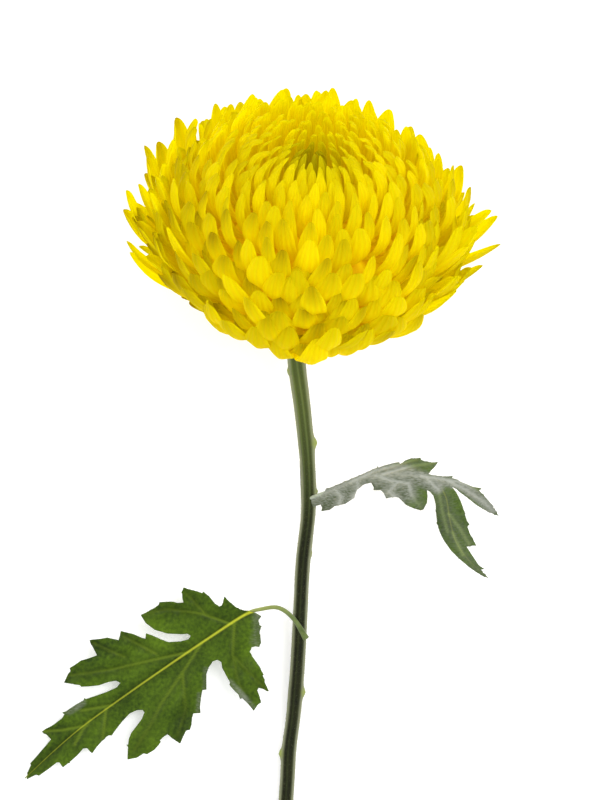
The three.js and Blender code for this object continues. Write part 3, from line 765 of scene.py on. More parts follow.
UPPER_LEAF = {
    "midrib": [
        (3.8, -31, 12.2), (9.6, -28.8, 15.5), (15.5, -26.2, 19), (22, -24.1, 21.6),
        (31.2, -23.4, 23.4), (38.3, -24.1, 23), (43.5, -26.6, 21.4), (46.3, -31, 18.6),
        (47.6, -38, 14.6), (49.6, -45, 10.8), (53.6, -50.8, 8.2), (59.6, -56.5, 5.6),
    ],
    "petiole": [(2.2, -32, 10.6), (3.8, -31, 12.2)],
    "rib_radius": (0.55, 0.12),
    "rib_share": 0.35,
    "downy": (0.24, 1.0),
    "fold": -0.34,
    "wave": (0.9, 14),
    "turned": [
        (6.5, [(4, -32), (15, -29), (24, -26), (31, -27)]),
        (2.6, [(25, -23), (32, -23), (38, -25), (43, -27)]),
        (1.6, [(42, -25), (51, -27), (57, -31.4), (61, -34.6)]),
    ],
    "corner": (-6.4, -12.8),
    "square": 0.04706,
    "outline": [
        (215, 400), (240, 385), (300, 352), (310, 325), (345, 318), (380, 305), (430, 280),
        (480, 262), (530, 240), (570, 225), (610, 205), (650, 185), (660, 170), (665, 185),
        (700, 170), (750, 158), (805, 148), (808, 158), (840, 140), (890, 122), (930, 118),
        (945, 115), (950, 128), (970, 138), (1010, 148), (1062, 145), (1045, 175), (1020, 200),
        (1000, 228), (1040, 235), (1100, 243), (1165, 240), (1160, 258), (1200, 270), (1250, 290),
        (1300, 312), (1358, 330), (1345, 338), (1380, 375), (1410, 410), (1447, 447), (1440, 455),
        (1460, 480), (1480, 510), (1440, 498), (1390, 475), (1330, 440), (1280, 400), (1240, 365),
        (1200, 335), (1160, 312), (1190, 350), (1220, 410), (1235, 450), (1250, 500), (1265, 545),
        (1283, 568), (1268, 585), (1285, 630), (1310, 675), (1332, 715), (1300, 715), (1265, 722),
        (1290, 760), (1320, 805), (1350, 850), (1388, 873), (1360, 880), (1385, 905), (1418, 937),
        (1380, 925), (1330, 895), (1280, 860), (1210, 800), (1160, 750), (1110, 680), (1080, 620),
        (1062, 560), (1055, 500), (1050, 430), (1035, 375), (1010, 345), (990, 335), (995, 375),
        (992, 420), (970, 465), (950, 473), (910, 462), (850, 435), (820, 405), (800, 385),
        (770, 380), (715, 390), (700, 355), (680, 335), (630, 335), (632, 315), (615, 285),
        (580, 292), (560, 300), (545, 315), (520, 335), (500, 390), (440, 430), (370, 445),
        (330, 472), (280, 480), (285, 455), (275, 435), (240, 445), (190, 467), (205, 430),
    ],
    "veins": [
        [(16, -26), (24, -22.4), (31, -20.4), (37, -18.6)],
        [(26, -23.6), (35, -21), (43, -19.7)],
        [(38.3, -24), (46, -25.2), (53, -28.6), (58, -32), (62.8, -36.5)],
        [(46, -25.2), (52, -26.2), (57, -28.6)],
        [(11, -28.3), (13.2, -30.8), (12.4, -33)],
        [(18, -25.4), (18.6, -28.4), (16.6, -31.5)],
        [(24, -23.9), (29, -25.6), (34.4, -26.4), (35.5, -30), (38.6, -34.4)],
        [(31, -25.9), (28.2, -29), (30.5, -31)],
        [(40, -24.6), (44, -28.6), (45.4, -36), (47, -42)],
        [(47.2, -36), (51, -41), (54, -46)],
        [(48.5, -42), (52, -49.5)],
    ],
}
print(len(LOWER_LEAF["outline"]), "and", len(UPPER_LEAF["outline"]), "corners")

# %% [markdown]
# ## Leaves: from outline to blade
# One face is drawn from the outline and then cut by many parallel planes, along and across
# the midrib. `bisect_plane` does this like an egg slicer, and it leaves the toothed edge as it
# was, which a grid pushed into the outline would not.

# %% Cut a blade
LEAF_CELL = 0.5
TURNED_EDGE = 0.8  # softness of a downy line, as a share of its width


def distance_to_lines(points, lines):
    """For each point, its distance in plan to the nearest of the lines."""
    best = np.full(len(points), 1e9)
    for line in lines:
        for a, b in zip(line, line[1:]):
            a, b = np.array(a[:2], float), np.array(b[:2], float)
            along = np.clip(((points - a) @ (b - a)) / ((b - a) @ (b - a)), 0, 1)
            best = np.minimum(best, np.linalg.norm(points - (a + along[:, None] * (b - a)), axis=1))
    return best


def outline_of(leaf):
    """The leaf's outline in millimetres, from the squares that it was drawn on."""
    (left, top), square = leaf["corner"], leaf["square"]
    return [(left + square * across, top - square * down) for across, down in leaf["outline"]]


def cut_blade(leaf):
    """A flat bmesh of the leaf's outline, cut into cells that run along its midrib."""
    bm = bmesh.new()
    bm.faces.new([bm.verts.new((x, y, 0)) for x, y in outline_of(leaf)])
    start, end = Vector(leaf["midrib"][0][:2]), Vector(leaf["midrib"][-1][:2])
    along = (end - start).normalized()
    for direction in (along, Vector((-along.y, along.x))):
        places = [v.co.xy.dot(direction) for v in bm.verts]
        for place in np.arange(min(places) + LEAF_CELL / 2, max(places), LEAF_CELL):
            bmesh.ops.bisect_plane(
                bm,
                geom=bm.verts[:] + bm.edges[:] + bm.faces[:],
                plane_co=(direction * place).to_3d(),
                plane_no=direction.to_3d(),
            )
    return bm


def turned_share(points, leaf):
    """How far each point is grey with down, from 0 to 1."""
    shares = []
    for width, line in leaf["turned"]:
        inside = (width - distance_to_lines(points, [line])) / (TURNED_EDGE * width)
        shares.append([smooth(share + 0.5) for share in inside])
    least, most = leaf["downy"]
    return least + (most - least) * np.max(shares, axis=0)


print("a blade is cut into cells of", LEAF_CELL, "mm")

# %% [markdown]
# ## Leaves: from blade to leaf
# The cut face is lifted by a formula: it folds along the midrib, waves at its edge, dips at
# each vein and bulges between. The material needs to know where the veins are, so each
# vertex keeps that too. For the midrib it keeps the distance with a sign, plus on one side
# and minus on the other. A value like that runs straight through zero between two vertices,
# so the shader can draw a line much sharper than the mesh.

# %% Lift a blade
VEIN_WIDTH = 0.38
VEIN_DEPTH = 0.4
VEIN_REACH = 18  # at this distance from the midrib the side veins are as faint as they get
VEIN_FADING = 0.65  # how much of their colour they have lost there
VEIN_SHADE_WIDTH = 2.1  # of the painted shade along the veins
QUILTING = 0.8  # how far the blade bulges up between its veins
QUILT_WIDTH = 3  # and how far from them
WAVE_REACH = 14  # at this distance from the midrib the waves are as high as they get
FOLD_END = 90  # at this distance the fold would have come back down
LEAF_THICKNESS = 0.45
RIB_STEPS = 16  # samples between two points of the midrib
UV_SCALE = 5  # the square of the UV map is a fifth of a metre wide
UV_CORNER = (0.1, 0.15)  # moves both leaves into that square, in metres


def build_leaf(name, leaf, node_name):
    bm = cut_blade(leaf)
    rib = spline(leaf["midrib"], RIB_STEPS)
    plan = np.array([v.co.xy[:] for v in bm.verts])
    nearest = np.linalg.norm(plan[:, None, :] - rib[None, :, :2], axis=2).argmin(axis=1)
    from_rib = distance_to_lines(plan, [rib])
    from_side_vein = distance_to_lines(plan, leaf["veins"])
    from_vein = np.minimum(from_rib, from_side_vein)
    heading = np.gradient(rib, axis=0)[nearest]
    offset = plan - rib[nearest, :2]
    which_side = np.sign(heading[:, 0] * offset[:, 1] - heading[:, 1] * offset[:, 0])
    turned = turned_share(plan, leaf)
    height, length = leaf["wave"]
    layers = float_layers(bm, "turned", "vein_shading", "vein", "from_midrib", "rib_share", "along")
    uv_layer = bm.loops.layers.uv.new("UVMap")
    for i, vertex in enumerate(bm.verts):
        x, y = plan[i]
        d = from_rib[i]
        ripple = math.sin((x - y) / length * math.tau) * height * smooth(d / WAVE_REACH)
        groove = math.exp(-((from_vein[i] / VEIN_WIDTH) ** 2))
        quilt = QUILTING * (1 - math.exp(-from_vein[i] / QUILT_WIDTH))
        z = rib[nearest[i], 2] + leaf["fold"] * d * (1 - d / FOLD_END) + ripple
        z += quilt - VEIN_DEPTH * groove
        fading = 1 - VEIN_FADING * smooth(d / VEIN_REACH)
        vertex[layers["turned"]] = turned[i]
        # painted shade along the veins: 0 on them and 1 between them
        vertex[layers["vein_shading"]] = 1 - math.exp(-from_vein[i] / VEIN_SHADE_WIDTH)
        vertex[layers["vein"]] = fading * math.exp(-((from_side_vein[i] / VEIN_WIDTH) ** 2))
        vertex[layers["from_midrib"]] = which_side[i] * d
        vertex[layers["rib_share"]] = leaf["rib_share"]
        vertex[layers["along"]] = nearest[i] / (len(rib) - 1)
        vertex.co = row(above_table(Vector((x, y, z))))
    for face in bm.faces:
        for loop in face.loops:
            x, y, _ = loop.vert.co
            loop[uv_layer].uv = ((x + UV_CORNER[0]) * UV_SCALE, (y + UV_CORNER[1]) * UV_SCALE)
    if sum(f.normal.z for f in bm.faces) < 0:
        bmesh.ops.reverse_faces(bm, faces=bm.faces)
    blade = finish_mesh(bm, name)
    add_modifier(
        blade, "thickness", "SOLIDIFY", thickness=LEAF_THICKNESS * MM, offset=-1, material_offset=1
    )
    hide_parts(node_name)
    print(name, len(blade.data.polygons), "faces")
    return blade


lower_blade = build_leaf("blade_lower", LOWER_LEAF, "leaf_lower")
upper_blade = build_leaf("blade_upper", UPPER_LEAF, "leaf_upper")

# %% [markdown]
# ## Petioles and ribs
# The petiole, a leaf's own small stalk, clasps the stem and runs on under the blade as its
# raised midrib, getting thinner all the way. It is rolled up from a grid as the stem was.
# The blade dips over its midrib, so the rib is sunk by as much, or it would come through.

# %% Roll up the petioles
PETIOLE_ROUND_FACES = 12
PETIOLE_LONG_FACES = 70
PETIOLE_STEPS = 12  # samples between two points of its line
CLASP_PART = 0.08  # of the length: the petiole's thicker foot, and its way in under the blade
CLASP_EXTRA = 0.5  # how much thicker the foot is, as a share of the radius


def build_petiole(name, leaf, node_name):
    line = spline(leaf["petiole"] + leaf["midrib"][1:], PETIOLE_STEPS)
    tangent = np.gradient(line, axis=0)
    stalk_share = (len(leaf["petiole"]) - 1) / (len(leaf["petiole"]) + len(leaf["midrib"]) - 2)
    bm = bmesh.new()
    bm.loops.layers.uv.new("UVMap")
    layers = float_layers(bm, "along")
    grid = bmesh.ops.create_grid(
        bm, x_segments=PETIOLE_ROUND_FACES, y_segments=PETIOLE_LONG_FACES, size=0.5, calc_uvs=True
    )
    for vertex in grid["verts"]:
        angle = vertex.co.x * math.tau
        share = vertex.co.y + 0.5
        vertex[layers["along"]] = share
        place = share * (len(line) - 1)
        centre = Vector([np.interp(place, range(len(line)), column) for column in line.T])
        along = Vector([np.interp(place, range(len(line)), column) for column in tangent.T])
        sideways = along.cross(Vector((0, 0, 1))).normalized()
        upward = sideways.cross(along).normalized()
        in_blade = smooth((share - stalk_share) / CLASP_PART)
        clasp = max(0, CLASP_PART - share) / CLASP_PART
        radius = lerp(*leaf["rib_radius"], smooth(share)) * (1 + CLASP_EXTRA * clasp)
        direction = sideways * math.sin(angle) + upward * math.cos(angle)
        centre -= upward * in_blade * (radius + VEIN_DEPTH + LEAF_THICKNESS / 2)
        vertex.co = row(above_table(centre + direction * radius))
    close_tube(bm)
    petiole = finish_mesh(bm, name)
    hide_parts(node_name)
    print(name, len(petiole.data.polygons), "faces")
    return petiole


lower_petiole = build_petiole("petiole_lower", LOWER_LEAF, "leaf_lower")
upper_petiole = build_petiole("petiole_upper", UPPER_LEAF, "leaf_upper")

# %% [markdown]
# ## Building materials with few words
# Each material is a small graph of shader nodes. Helpers keep that short: one makes a
# material with its Principled BSDF, one adds a node and links or sets its inputs, and the
# others are for the nodes that are used over and over.

# %% Helpers for nodes


def add_node(tree, kind, inputs=None, **settings):
    made = tree.nodes.new(kind)
    for key, value in settings.items():
        setattr(made, key, value)
    for key, value in (inputs or {}).items():
        if isinstance(value, bpy.types.NodeSocket):
            tree.links.new(value, made.inputs[key])
        else:
            made.inputs[key].default_value = value
    return made


def math_node(tree, operation, *values):
    return add_node(
        tree, "ShaderNodeMath", dict(enumerate(values)), operation=operation
    ).outputs[0]


def mix_colour(tree, share, a, b):
    return add_node(
        tree, "ShaderNodeMix", {0: share, 6: a, 7: b}, data_type="RGBA"
    ).outputs[2]


def attribute(tree, name):
    return add_node(tree, "ShaderNodeAttribute", attribute_name=name).outputs["Fac"]


def map_range(tree, value, low, high, most=1.0, smoothed=False):
    """From 0 where the value is low to most where it is high."""
    kind = "SMOOTHSTEP" if smoothed else "LINEAR"
    inputs = {"Value": value, "From Min": low, "From Max": high, "To Max": most}
    return add_node(tree, "ShaderNodeMapRange", inputs, interpolation_type=kind).outputs[0]


def brightness(tree, colour, value):
    inputs = {"Value": value, "Color": colour}
    return add_node(tree, "ShaderNodeHueSaturation", inputs).outputs["Color"]


print("node helpers are ready")

# %% Helpers for materials


def new_material(name, roughness, specular):
    material = bpy.data.materials.new(name)
    material.use_nodes = True
    shader = material.node_tree.nodes["Principled BSDF"]
    shader.inputs["Roughness"].default_value = roughness
    shader.inputs["Specular IOR Level"].default_value = specular
    return material, material.node_tree, shader


def give_colour(tree, shader, colour, glow=0.0):
    tree.links.new(colour, shader.inputs["Base Color"])
    if glow:
        tree.links.new(colour, shader.inputs["Emission Color"])
        shader.inputs["Emission Strength"].default_value = glow


def push_surface(tree, shader, height, strength, distance):
    """Lets the surface look as if the height pushed it up and down, in metres."""
    inputs = {"Height": height, "Strength": strength, "Distance": distance}
    bump = add_node(tree, "ShaderNodeBump", inputs)
    tree.links.new(bump.outputs[0], shader.inputs["Normal"])


def let_through(material, shader, colour, share):
    """Lets part of the light through, as thin petals and leaves do."""
    tree = material.node_tree
    thin = add_node(tree, "ShaderNodeBsdfTranslucent", {"Color": colour})
    both = add_node(
        tree, "ShaderNodeMixShader", {0: share, 1: shader.outputs[0], 2: thin.outputs[0]}
    )
    tree.links.new(both.outputs[0], tree.nodes["Material Output"].inputs["Surface"])


print("material helpers are ready")

# %% [markdown]
# ## Petal yellow
# The florets are a saturated yellow with hardly any blue in it, paler and brighter at their
# tips. Deep between them, towards their bases, they are painted a darker gold: painted shade,
# with the light that has come through other florets. Near the tips many of them get painted
# shade in a dull olive, most on the side of the head that is turned from the light. The values
# stored in each floret drive the colour, and a few lengthwise grooves, which real florets have,
# come from a sine across the floret's own UV map. Light goes from floret to floret many times
# in such a head, more often than a render follows it. A weak glow of the florets' own colour
# stands for what it then loses.

# %% Petal material
TIP_YELLOW = (1.0, 0.96, 0.0, 1)
BODY_YELLOW = (1.0, 0.92, 0.0, 1)
# painted shade: deep between the florets, towards their bases, they are a darker gold
BASE_SHADE_GOLD = (1.0, 0.86, 0.0, 1)
EYE_OLIVE = (0.40, 0.36, 0.0, 1)
SHADE_OLIVE = (0.44, 0.32, 0.0, 1)
STREAK_GOLD = (0.9, 0.7, 0.0, 1)
BODY_AT = 0.35  # depths at which a floret has its body's and its base's colour
BASE_AT = 0.85
EYE_FADES = 12.0  # the eye's olive ends at one part in so many of the tip zone
EYE_SHARE = 0.8
SHADE_DEPTH = (0.3, 0.05)  # a tip's shade begins at the first depth and is full at the second
SHADE_SHARE = 0.85  # in the middle of a floret, and less towards its edges
TONE_RANGE = 0.08  # how much darker some florets are
GROOVES = 5
GROOVE_SHARE = 0.14
GROOVE_STRENGTH = 0.7
GROOVE_DEPTH = 0.0004
PETAL_GLOW = 0.22
PETAL_THINNESS = 0.72  # the share of light that goes through

petal, tree, shader = new_material("petal_yellow", roughness=0.6, specular=0.1)
depth = attribute(tree, "depth")
ramp = add_node(tree, "ShaderNodeValToRGB", {"Fac": depth}).color_ramp
ramp.elements[0].color = TIP_YELLOW
ramp.elements[1].color = BASE_SHADE_GOLD
ramp.elements[1].position = BASE_AT
ramp.elements.new(BODY_AT).color = BODY_YELLOW
ramp_colour = tree.nodes["Color Ramp"].outputs["Color"]
from_eye = math_node(tree, "MULTIPLY", attribute(tree, "age"), EYE_FADES)
eye_share = math_node(tree, "SUBTRACT", 1.0, from_eye)
eye_share = add_node(tree, "ShaderNodeClamp", {"Value": eye_share}).outputs[0]
eye_share = math_node(tree, "MULTIPLY", eye_share, EYE_SHARE)
coloured = mix_colour(tree, eye_share, ramp_colour, EYE_OLIVE)
near_tip = map_range(tree, depth, *SHADE_DEPTH)
uv = add_node(tree, "ShaderNodeUVMap", uv_map="UVMap").outputs["UV"]
across = add_node(tree, "ShaderNodeSeparateXYZ", {0: uv}).outputs["X"]
middle = math_node(tree, "SINE", math_node(tree, "MULTIPLY", across, math.pi))
shade = math_node(tree, "MULTIPLY", near_tip, attribute(tree, "shade"))
shade = math_node(tree, "MULTIPLY", shade, math_node(tree, "MULTIPLY", middle, SHADE_SHARE))
coloured = mix_colour(tree, shade, coloured, SHADE_OLIVE)
tone = math_node(tree, "MULTIPLY_ADD", attribute(tree, "tone"), TONE_RANGE, 1 - TONE_RANGE)
coloured = brightness(tree, coloured, tone)
groove = math_node(tree, "SINE", math_node(tree, "MULTIPLY", across, GROOVES * math.tau))
streak = math_node(tree, "MULTIPLY_ADD", groove, GROOVE_SHARE, GROOVE_SHARE)
coloured = mix_colour(tree, streak, coloured, STREAK_GOLD)
give_colour(tree, shader, coloured, glow=PETAL_GLOW)
push_surface(tree, shader, groove, GROOVE_STRENGTH, GROOVE_DEPTH)
let_through(petal, shader, coloured, PETAL_THINNESS)
for piece in florets:
    piece.data.materials.append(petal)
print("petal material:", petal.name)

# %% Material of the floret bases
# Painted shade: the bases are a darker gold than the florets, and darkest between their ribs. Their
# glow is painted light, for the light bounced between the florets.
RIB_FOOT_SHADE_GOLD = (0.75, 0.47, 0.0, 1)
RIB_TOP_GOLD = (0.96, 0.76, 0.0, 1)
BASES_GLOW = 0.12

deep, tree, shader = new_material("floret_bases_shade_gold", roughness=0.7, specular=0.1)
rib_shade_gold = mix_colour(tree, attribute(tree, "rib"), RIB_FOOT_SHADE_GOLD, RIB_TOP_GOLD)
give_colour(tree, shader, rib_shade_gold, glow=BASES_GLOW)
heart.data.materials.append(deep)
print("material of the bases:", deep.name)

# %% [markdown]
# ## Plant green
# Stem, bracts and leaves share one effect: a green that is mottled at two scales, with the
# fine one also pushing the surface up and down a little, like cells and down. It is a node
# group, built once and placed in each green material with its own colours.

# %% The mottled green group
PATCH_DETAIL, GRAIN_DETAIL = 3.0, 2.0
PATCH_SHARE, GRAIN_SHARE = 0.9, 0.7
MOTTLE_RANGE = (0.5, 1.1)  # of the two noises' sum, from the dark green to the light one
SKIN_DEPTH = 0.0003

mottle = bpy.data.node_groups.new("mottled_green", "ShaderNodeTree")
for name, kind, value in (
    ("Dark", "NodeSocketColor", (0.03, 0.08, 0.005, 1)),
    ("Light", "NodeSocketColor", (0.1, 0.2, 0.01, 1)),
    ("Patch Scale", "NodeSocketFloat", 90.0),
    ("Grain Scale", "NodeSocketFloat", 900.0),
):
    mottle.interface.new_socket(name, in_out="INPUT", socket_type=kind).default_value = value
mottle.interface.new_socket("Color", in_out="OUTPUT", socket_type="NodeSocketColor")
mottle.interface.new_socket("Height", in_out="OUTPUT", socket_type="NodeSocketFloat")
group_in = mottle.nodes.new("NodeGroupInput").outputs
group_out = mottle.nodes.new("NodeGroupOutput").inputs
place = add_node(mottle, "ShaderNodeTexCoord").outputs["Object"]
patches, grain = (
    add_node(
        mottle, "ShaderNodeTexNoise", {"Vector": place, "Scale": group_in[scale], "Detail": detail}
    ).outputs[0]
    for scale, detail in (("Patch Scale", PATCH_DETAIL), ("Grain Scale", GRAIN_DETAIL))
)
patches = math_node(mottle, "MULTIPLY", patches, PATCH_SHARE)
blend = math_node(mottle, "MULTIPLY_ADD", grain, GRAIN_SHARE, patches)
blend = map_range(mottle, blend, *MOTTLE_RANGE)
mottle.links.new(mix_colour(mottle, blend, group_in["Dark"], group_in["Light"]), group_out["Color"])
mottle.links.new(grain, group_out["Height"])
print("group", mottle.name, "with", len(mottle.nodes), "nodes")

# %% Green materials
GREEN_SPECULAR = 0.12
SHEEN_ROUGHNESS = 0.5


def green_material(name, dark, light, roughness=0.6, sheen=0.0, patch_scale=160.0, bump=0.2):
    """A mottled green material and the colour socket that its own marks are mixed into."""
    material, tree, shader = new_material(name, roughness, GREEN_SPECULAR)
    mottled = add_node(tree, "ShaderNodeGroup")
    mottled.node_tree = mottle
    mottled.inputs["Dark"].default_value = dark
    mottled.inputs["Light"].default_value = light
    mottled.inputs["Patch Scale"].default_value = patch_scale
    shader.inputs["Sheen Weight"].default_value = sheen
    shader.inputs["Sheen Roughness"].default_value = SHEEN_ROUGHNESS
    push_surface(tree, shader, mottled.outputs["Height"], bump, SKIN_DEPTH)
    return material, tree, shader, mottled.outputs["Color"]


def marked(tree, colour, marks):
    """The colour with marks over it, each given as an attribute, its strength and its colour."""
    for name, strength, mark in marks:
        share = math_node(tree, "MULTIPLY", attribute(tree, name), strength)
        colour = mix_colour(tree, share, colour, mark)
    return colour


print("green materials use the group", mottle.name)

# %% [markdown]
# ## Stem and bracts
# The stem is dark olive between pale lines that run along its ridges, fresher towards the
# head and yellower round its scars. Its fine down makes its edges grey with its sheen: the
# hairs alone are too few for that, so this sheen is painted, paler where the skin turns away
# from the camera above.

# %% Stem and bract materials
RIDGE_PALE = (0.15, 0.20, 0.06, 1)
RIDGE_SHARPNESS = 3.0
RIDGE_SHARE = (0.08, 0.6)  # of the pale colour on a ridge: everywhere, and more near the head
YOUNG_GREEN = (0.145, 0.195, 0.045, 1)
EDGE_SHEEN_GREY = (0.30, 0.32, 0.19, 1)
SCAR_YELLOW = (0.26, 0.33, 0.04, 1)
DOWN_PALE = (0.18, 0.20, 0.10, 1)

stem_skin, tree, shader, green = green_material(
    "stem_green", (0.003, 0.004, 0.001, 1), (0.014, 0.017, 0.003, 1), bump=0.35
)
ridge = math_node(tree, "POWER", attribute(tree, "ridge"), RIDGE_SHARPNESS)
low, more = RIDGE_SHARE
ridge_share = math_node(tree, "MULTIPLY_ADD", attribute(tree, "young"), more, low)
ridge = math_node(tree, "MULTIPLY", ridge, ridge_share)
pale = mix_colour(tree, ridge, green, RIDGE_PALE)
# the side mark is the down's painted sheen on the stem's edges
marks = [("young", 0.5, YOUNG_GREEN), ("side", 0.7, EDGE_SHEEN_GREY), ("scar", 0.6, SCAR_YELLOW)]
give_colour(tree, shader, marked(tree, pale, marks))
stem.data.materials.append(stem_skin)

hair, tree, shader = new_material("pale_down", roughness=0.8, specular=0.1)
shader.inputs["Base Color"].default_value = DOWN_PALE
down.data.materials.append(hair)

bract_skin, tree, shader, green = green_material(
    "bract_green", (0.07, 0.12, 0.02, 1), (0.20, 0.28, 0.06, 1),
    sheen=0.3, patch_scale=200.0, bump=0.3,
)  # fmt: skip
give_colour(tree, shader, green)
cup.data.materials.append(bract_skin)
print("materials:", stem_skin.name, hair.name, bract_skin.name)

# %% Petiole materials
PALE_PART = (0.12, 0.32)  # the lower petiole gets paler along this part of its length
PALE_SHARE = 0.8
PETIOLE_PALE = (0.30, 0.34, 0.09, 1)
FRESH_PART = (0.5, 0.6)  # the upper leaf's rib loses its down along this part
RIB_GREEN = (0.13, 0.18, 0.04, 1)

petiole_skin, tree, shader, green = green_material(
    "petiole_green", (0.06, 0.09, 0.02, 1), (0.15, 0.20, 0.06, 1), roughness=0.5, sheen=0.2
)
pale_end = map_range(tree, attribute(tree, "along"), *PALE_PART, most=PALE_SHARE)
give_colour(tree, shader, mix_colour(tree, pale_end, green, PETIOLE_PALE))
lower_petiole.data.materials.append(petiole_skin)

downy_rib, tree, shader, green = green_material(
    "petiole_downy", (0.22, 0.26, 0.17, 1), (0.45, 0.48, 0.41, 1), roughness=0.7, sheen=0.3
)
fresh_end = map_range(tree, attribute(tree, "along"), *FRESH_PART)
give_colour(tree, shader, mix_colour(tree, fresh_end, green, RIB_GREEN))
upper_petiole.data.materials.append(downy_rib)
print("materials:", petiole_skin.name, downy_rib.name)

# %% [markdown]
# ## Leaf faces
# The upper face is a fresh, slightly glossy green with a yellow midrib that fades towards the
# tip, and painted shade along its veins. The midrib's line is drawn where the signed distance
# is near zero. The lower face is grey with down, combed along the leaf, with painted shade
# between the veins. Each blade has both materials: Solidify gives its inner shell the second
# one.

# %% Midrib and veins
VEIN_SHARE = 0.75  # of their colour that the side veins show
RIB_HALF_WIDTH = 0.8  # of the midrib's line at the leaf's foot, with its soft edge
RIB_FADING = 0.8  # how much of its width and colour the line loses towards the tip
VEIN_SHADE_DARK = 0.62  # brightness of the painted shade along the veins
VEIN_SHADE_LIFT = 0.55  # how much brighter the blade is between them


def veined_green(tree, green, vein, rib):
    """The green, with painted shade along the veins, side veins and the midrib drawn into it."""
    colour = marked(tree, green, [("vein", VEIN_SHARE, vein)])
    fading = math_node(tree, "MULTIPLY_ADD", attribute(tree, "along"), -RIB_FADING, 1.0)
    half_width = math_node(tree, "MULTIPLY", fading, RIB_HALF_WIDTH)
    from_rib = math_node(tree, "ABSOLUTE", attribute(tree, "from_midrib"))
    on_rib = map_range(tree, from_rib, half_width, 0.0, smoothed=True)
    on_rib = math_node(tree, "MULTIPLY", on_rib, attribute(tree, "rib_share"))
    on_rib = math_node(tree, "MULTIPLY", on_rib, fading)
    # painted shade along the veins, lighter between them
    vein_shading = attribute(tree, "vein_shading")
    shaded = math_node(tree, "MULTIPLY_ADD", vein_shading, VEIN_SHADE_LIFT, VEIN_SHADE_DARK)
    return mix_colour(tree, on_rib, brightness(tree, colour, shaded), rib)


print("the midrib's line is", 2 * RIB_HALF_WIDTH, "mm wide at its foot")

# %% Down on the leaves
DOWN_SHADE = (0.07, 0.09, 0.045, 1)
DOWN_GREY = (0.29, 0.305, 0.255, 1)
DOWN_VEIN = (0.50, 0.52, 0.46, 1)
DOWN_VEIN_SHARE = 0.5
COMBING = (0.3, 1.0, 1.0)  # draws the grain out along the leaf
DOWN_GRAIN = {"Scale": 2200.0, "Detail": 2.0}
GRAIN_CONTRAST = 1.8


def leaf_down(tree):
    """The down's colour: grey along the veins, broken up by its grain, painted shade between."""
    place = add_node(tree, "ShaderNodeTexCoord").outputs["Object"]
    inputs = {0: place, 1: COMBING}
    combed = add_node(tree, "ShaderNodeVectorMath", inputs, operation="MULTIPLY").outputs[0]
    grain = add_node(tree, "ShaderNodeTexNoise", {"Vector": combed, **DOWN_GRAIN}).outputs[0]
    grain = math_node(tree, "MULTIPLY_ADD", grain, GRAIN_CONTRAST, -GRAIN_CONTRAST / 2)
    # painted shade between the veins, broken up by the grain of the down
    grain_and_shade = math_node(tree, "ADD", attribute(tree, "vein_shading"), grain)
    grain_and_shade = add_node(tree, "ShaderNodeClamp", {"Value": grain_and_shade}).outputs[0]
    down_colour = mix_colour(tree, grain_and_shade, DOWN_GREY, DOWN_SHADE)
    return marked(tree, down_colour, [("vein", DOWN_VEIN_SHARE, DOWN_VEIN)])


print("down has", DOWN_GRAIN["Scale"], "grains per metre")

# %% Leaf materials
LEAF_LIGHT = (0.2, 0.32, 0.02, 1)  # of the light that comes through a leaf
LEAF_THINNESS = 0.08


def leaf_face(name, dark, light, vein, rib, roughness, sheen):
    material, tree, shader, green = green_material(
        name, dark, light, roughness=roughness, sheen=sheen, patch_scale=70.0, bump=0.3
    )
    colour = veined_green(tree, green, vein, rib)
    colour = mix_colour(tree, attribute(tree, "turned"), colour, leaf_down(tree))
    give_colour(tree, shader, colour)
    let_through(material, shader, LEAF_LIGHT, LEAF_THINNESS)
    return material


upper_face = leaf_face(
    "leaf_upper_face", dark=(0.017, 0.039, 0.001, 1), light=(0.09, 0.161, 0.006, 1),
    vein=(0.24, 0.36, 0.02, 1), rib=(0.62, 0.66, 0.04, 1), roughness=0.5, sheen=0.0,
)  # fmt: skip
under_face = leaf_face(
    "leaf_under_face", dark=(0.15, 0.20, 0.12, 1), light=(0.32, 0.38, 0.27, 1),
    vein=(0.45, 0.50, 0.38, 1), rib=(0.52, 0.56, 0.42, 1), roughness=0.75, sheen=0.6,
)  # fmt: skip
for blade in (lower_blade, upper_blade):
    blade.data.materials.append(upper_face)
    blade.data.materials.append(under_face)
print("leaf materials:", upper_face.name, under_face.name)

# %% [markdown]
# ## Table, light and camera
# A plain white table, an even white sky, one large soft key light from above right and a
# weak one from the left that edges the petals. The flower lies down, so the camera looks
# straight down on it, from far enough that near and far petals keep their sizes.

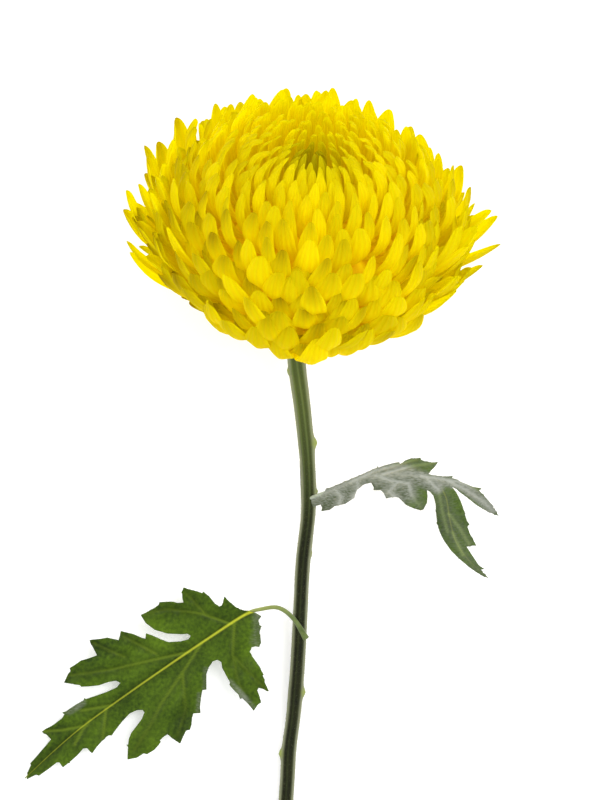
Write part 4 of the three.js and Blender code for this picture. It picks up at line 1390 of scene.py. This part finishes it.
# %% Table
PAPER_WHITE = (0.94, 0.94, 0.94, 1)
WHITE = (1, 1, 1, 1)
PAPER_GLOW = 0.25  # keeps the table white where the flower shades it
TABLE_WIDTH = 30  # in metres: the camera never sees its edge

bpy.ops.mesh.primitive_plane_add(size=TABLE_WIDTH, location=(0, 0, 0))
table = bpy.context.object
table.name = "table"
paper, tree, shader = new_material("white_paper", roughness=0.9, specular=0.1)
shader.inputs["Base Color"].default_value = PAPER_WHITE
shader.inputs["Emission Color"].default_value = WHITE
shader.inputs["Emission Strength"].default_value = PAPER_GLOW
table.data.materials.append(paper)
print("table:", table.dimensions.x, "m wide")

# %% Lights
SKY_STRENGTH = 1.08
AIM = Vector((0, 0.05, 0.04))  # both lamps point at the middle of the head

world = bpy.data.worlds.new("white_sky")
world.use_nodes = True
world.node_tree.nodes["Background"].inputs["Color"].default_value = WHITE
world.node_tree.nodes["Background"].inputs["Strength"].default_value = SKY_STRENGTH
bpy.context.scene.world = world


def soft_light(name, place, size, power):
    light = bpy.data.lights.new(name, "AREA")
    light.size = size
    light.energy = power
    lamp = bpy.data.objects.new(name, light)
    lamp.location = place
    lamp.rotation_euler = (AIM - Vector(place)).to_track_quat("-Z", "Y").to_euler()
    bpy.context.scene.collection.objects.link(lamp)


soft_light("key", place=(0.6, 0.3, 1.1), size=0.7, power=7)
soft_light("edge", place=(-0.9, 0.5, 0.35), size=0.4, power=2.5)
bpy.context.scene.view_settings.view_transform = "Standard"

# %% Camera
VIEW_CENTRE = row((0, 0, 0))
VIEW_HEIGHT = 0.256  # of the table, seen in the picture
CAMERA_HEIGHT = 2.0

camera_data = bpy.data.cameras.new("above")
camera_data.lens = camera_data.sensor_width * CAMERA_HEIGHT / VIEW_HEIGHT
camera = bpy.data.objects.new("above", camera_data)
camera.location = (VIEW_CENTRE.x, VIEW_CENTRE.y, CAMERA_HEIGHT)
bpy.context.scene.collection.objects.link(camera)
bpy.context.scene.camera = camera
print(f"camera lens {camera_data.lens:.0f} mm, {CAMERA_HEIGHT} m above the table")
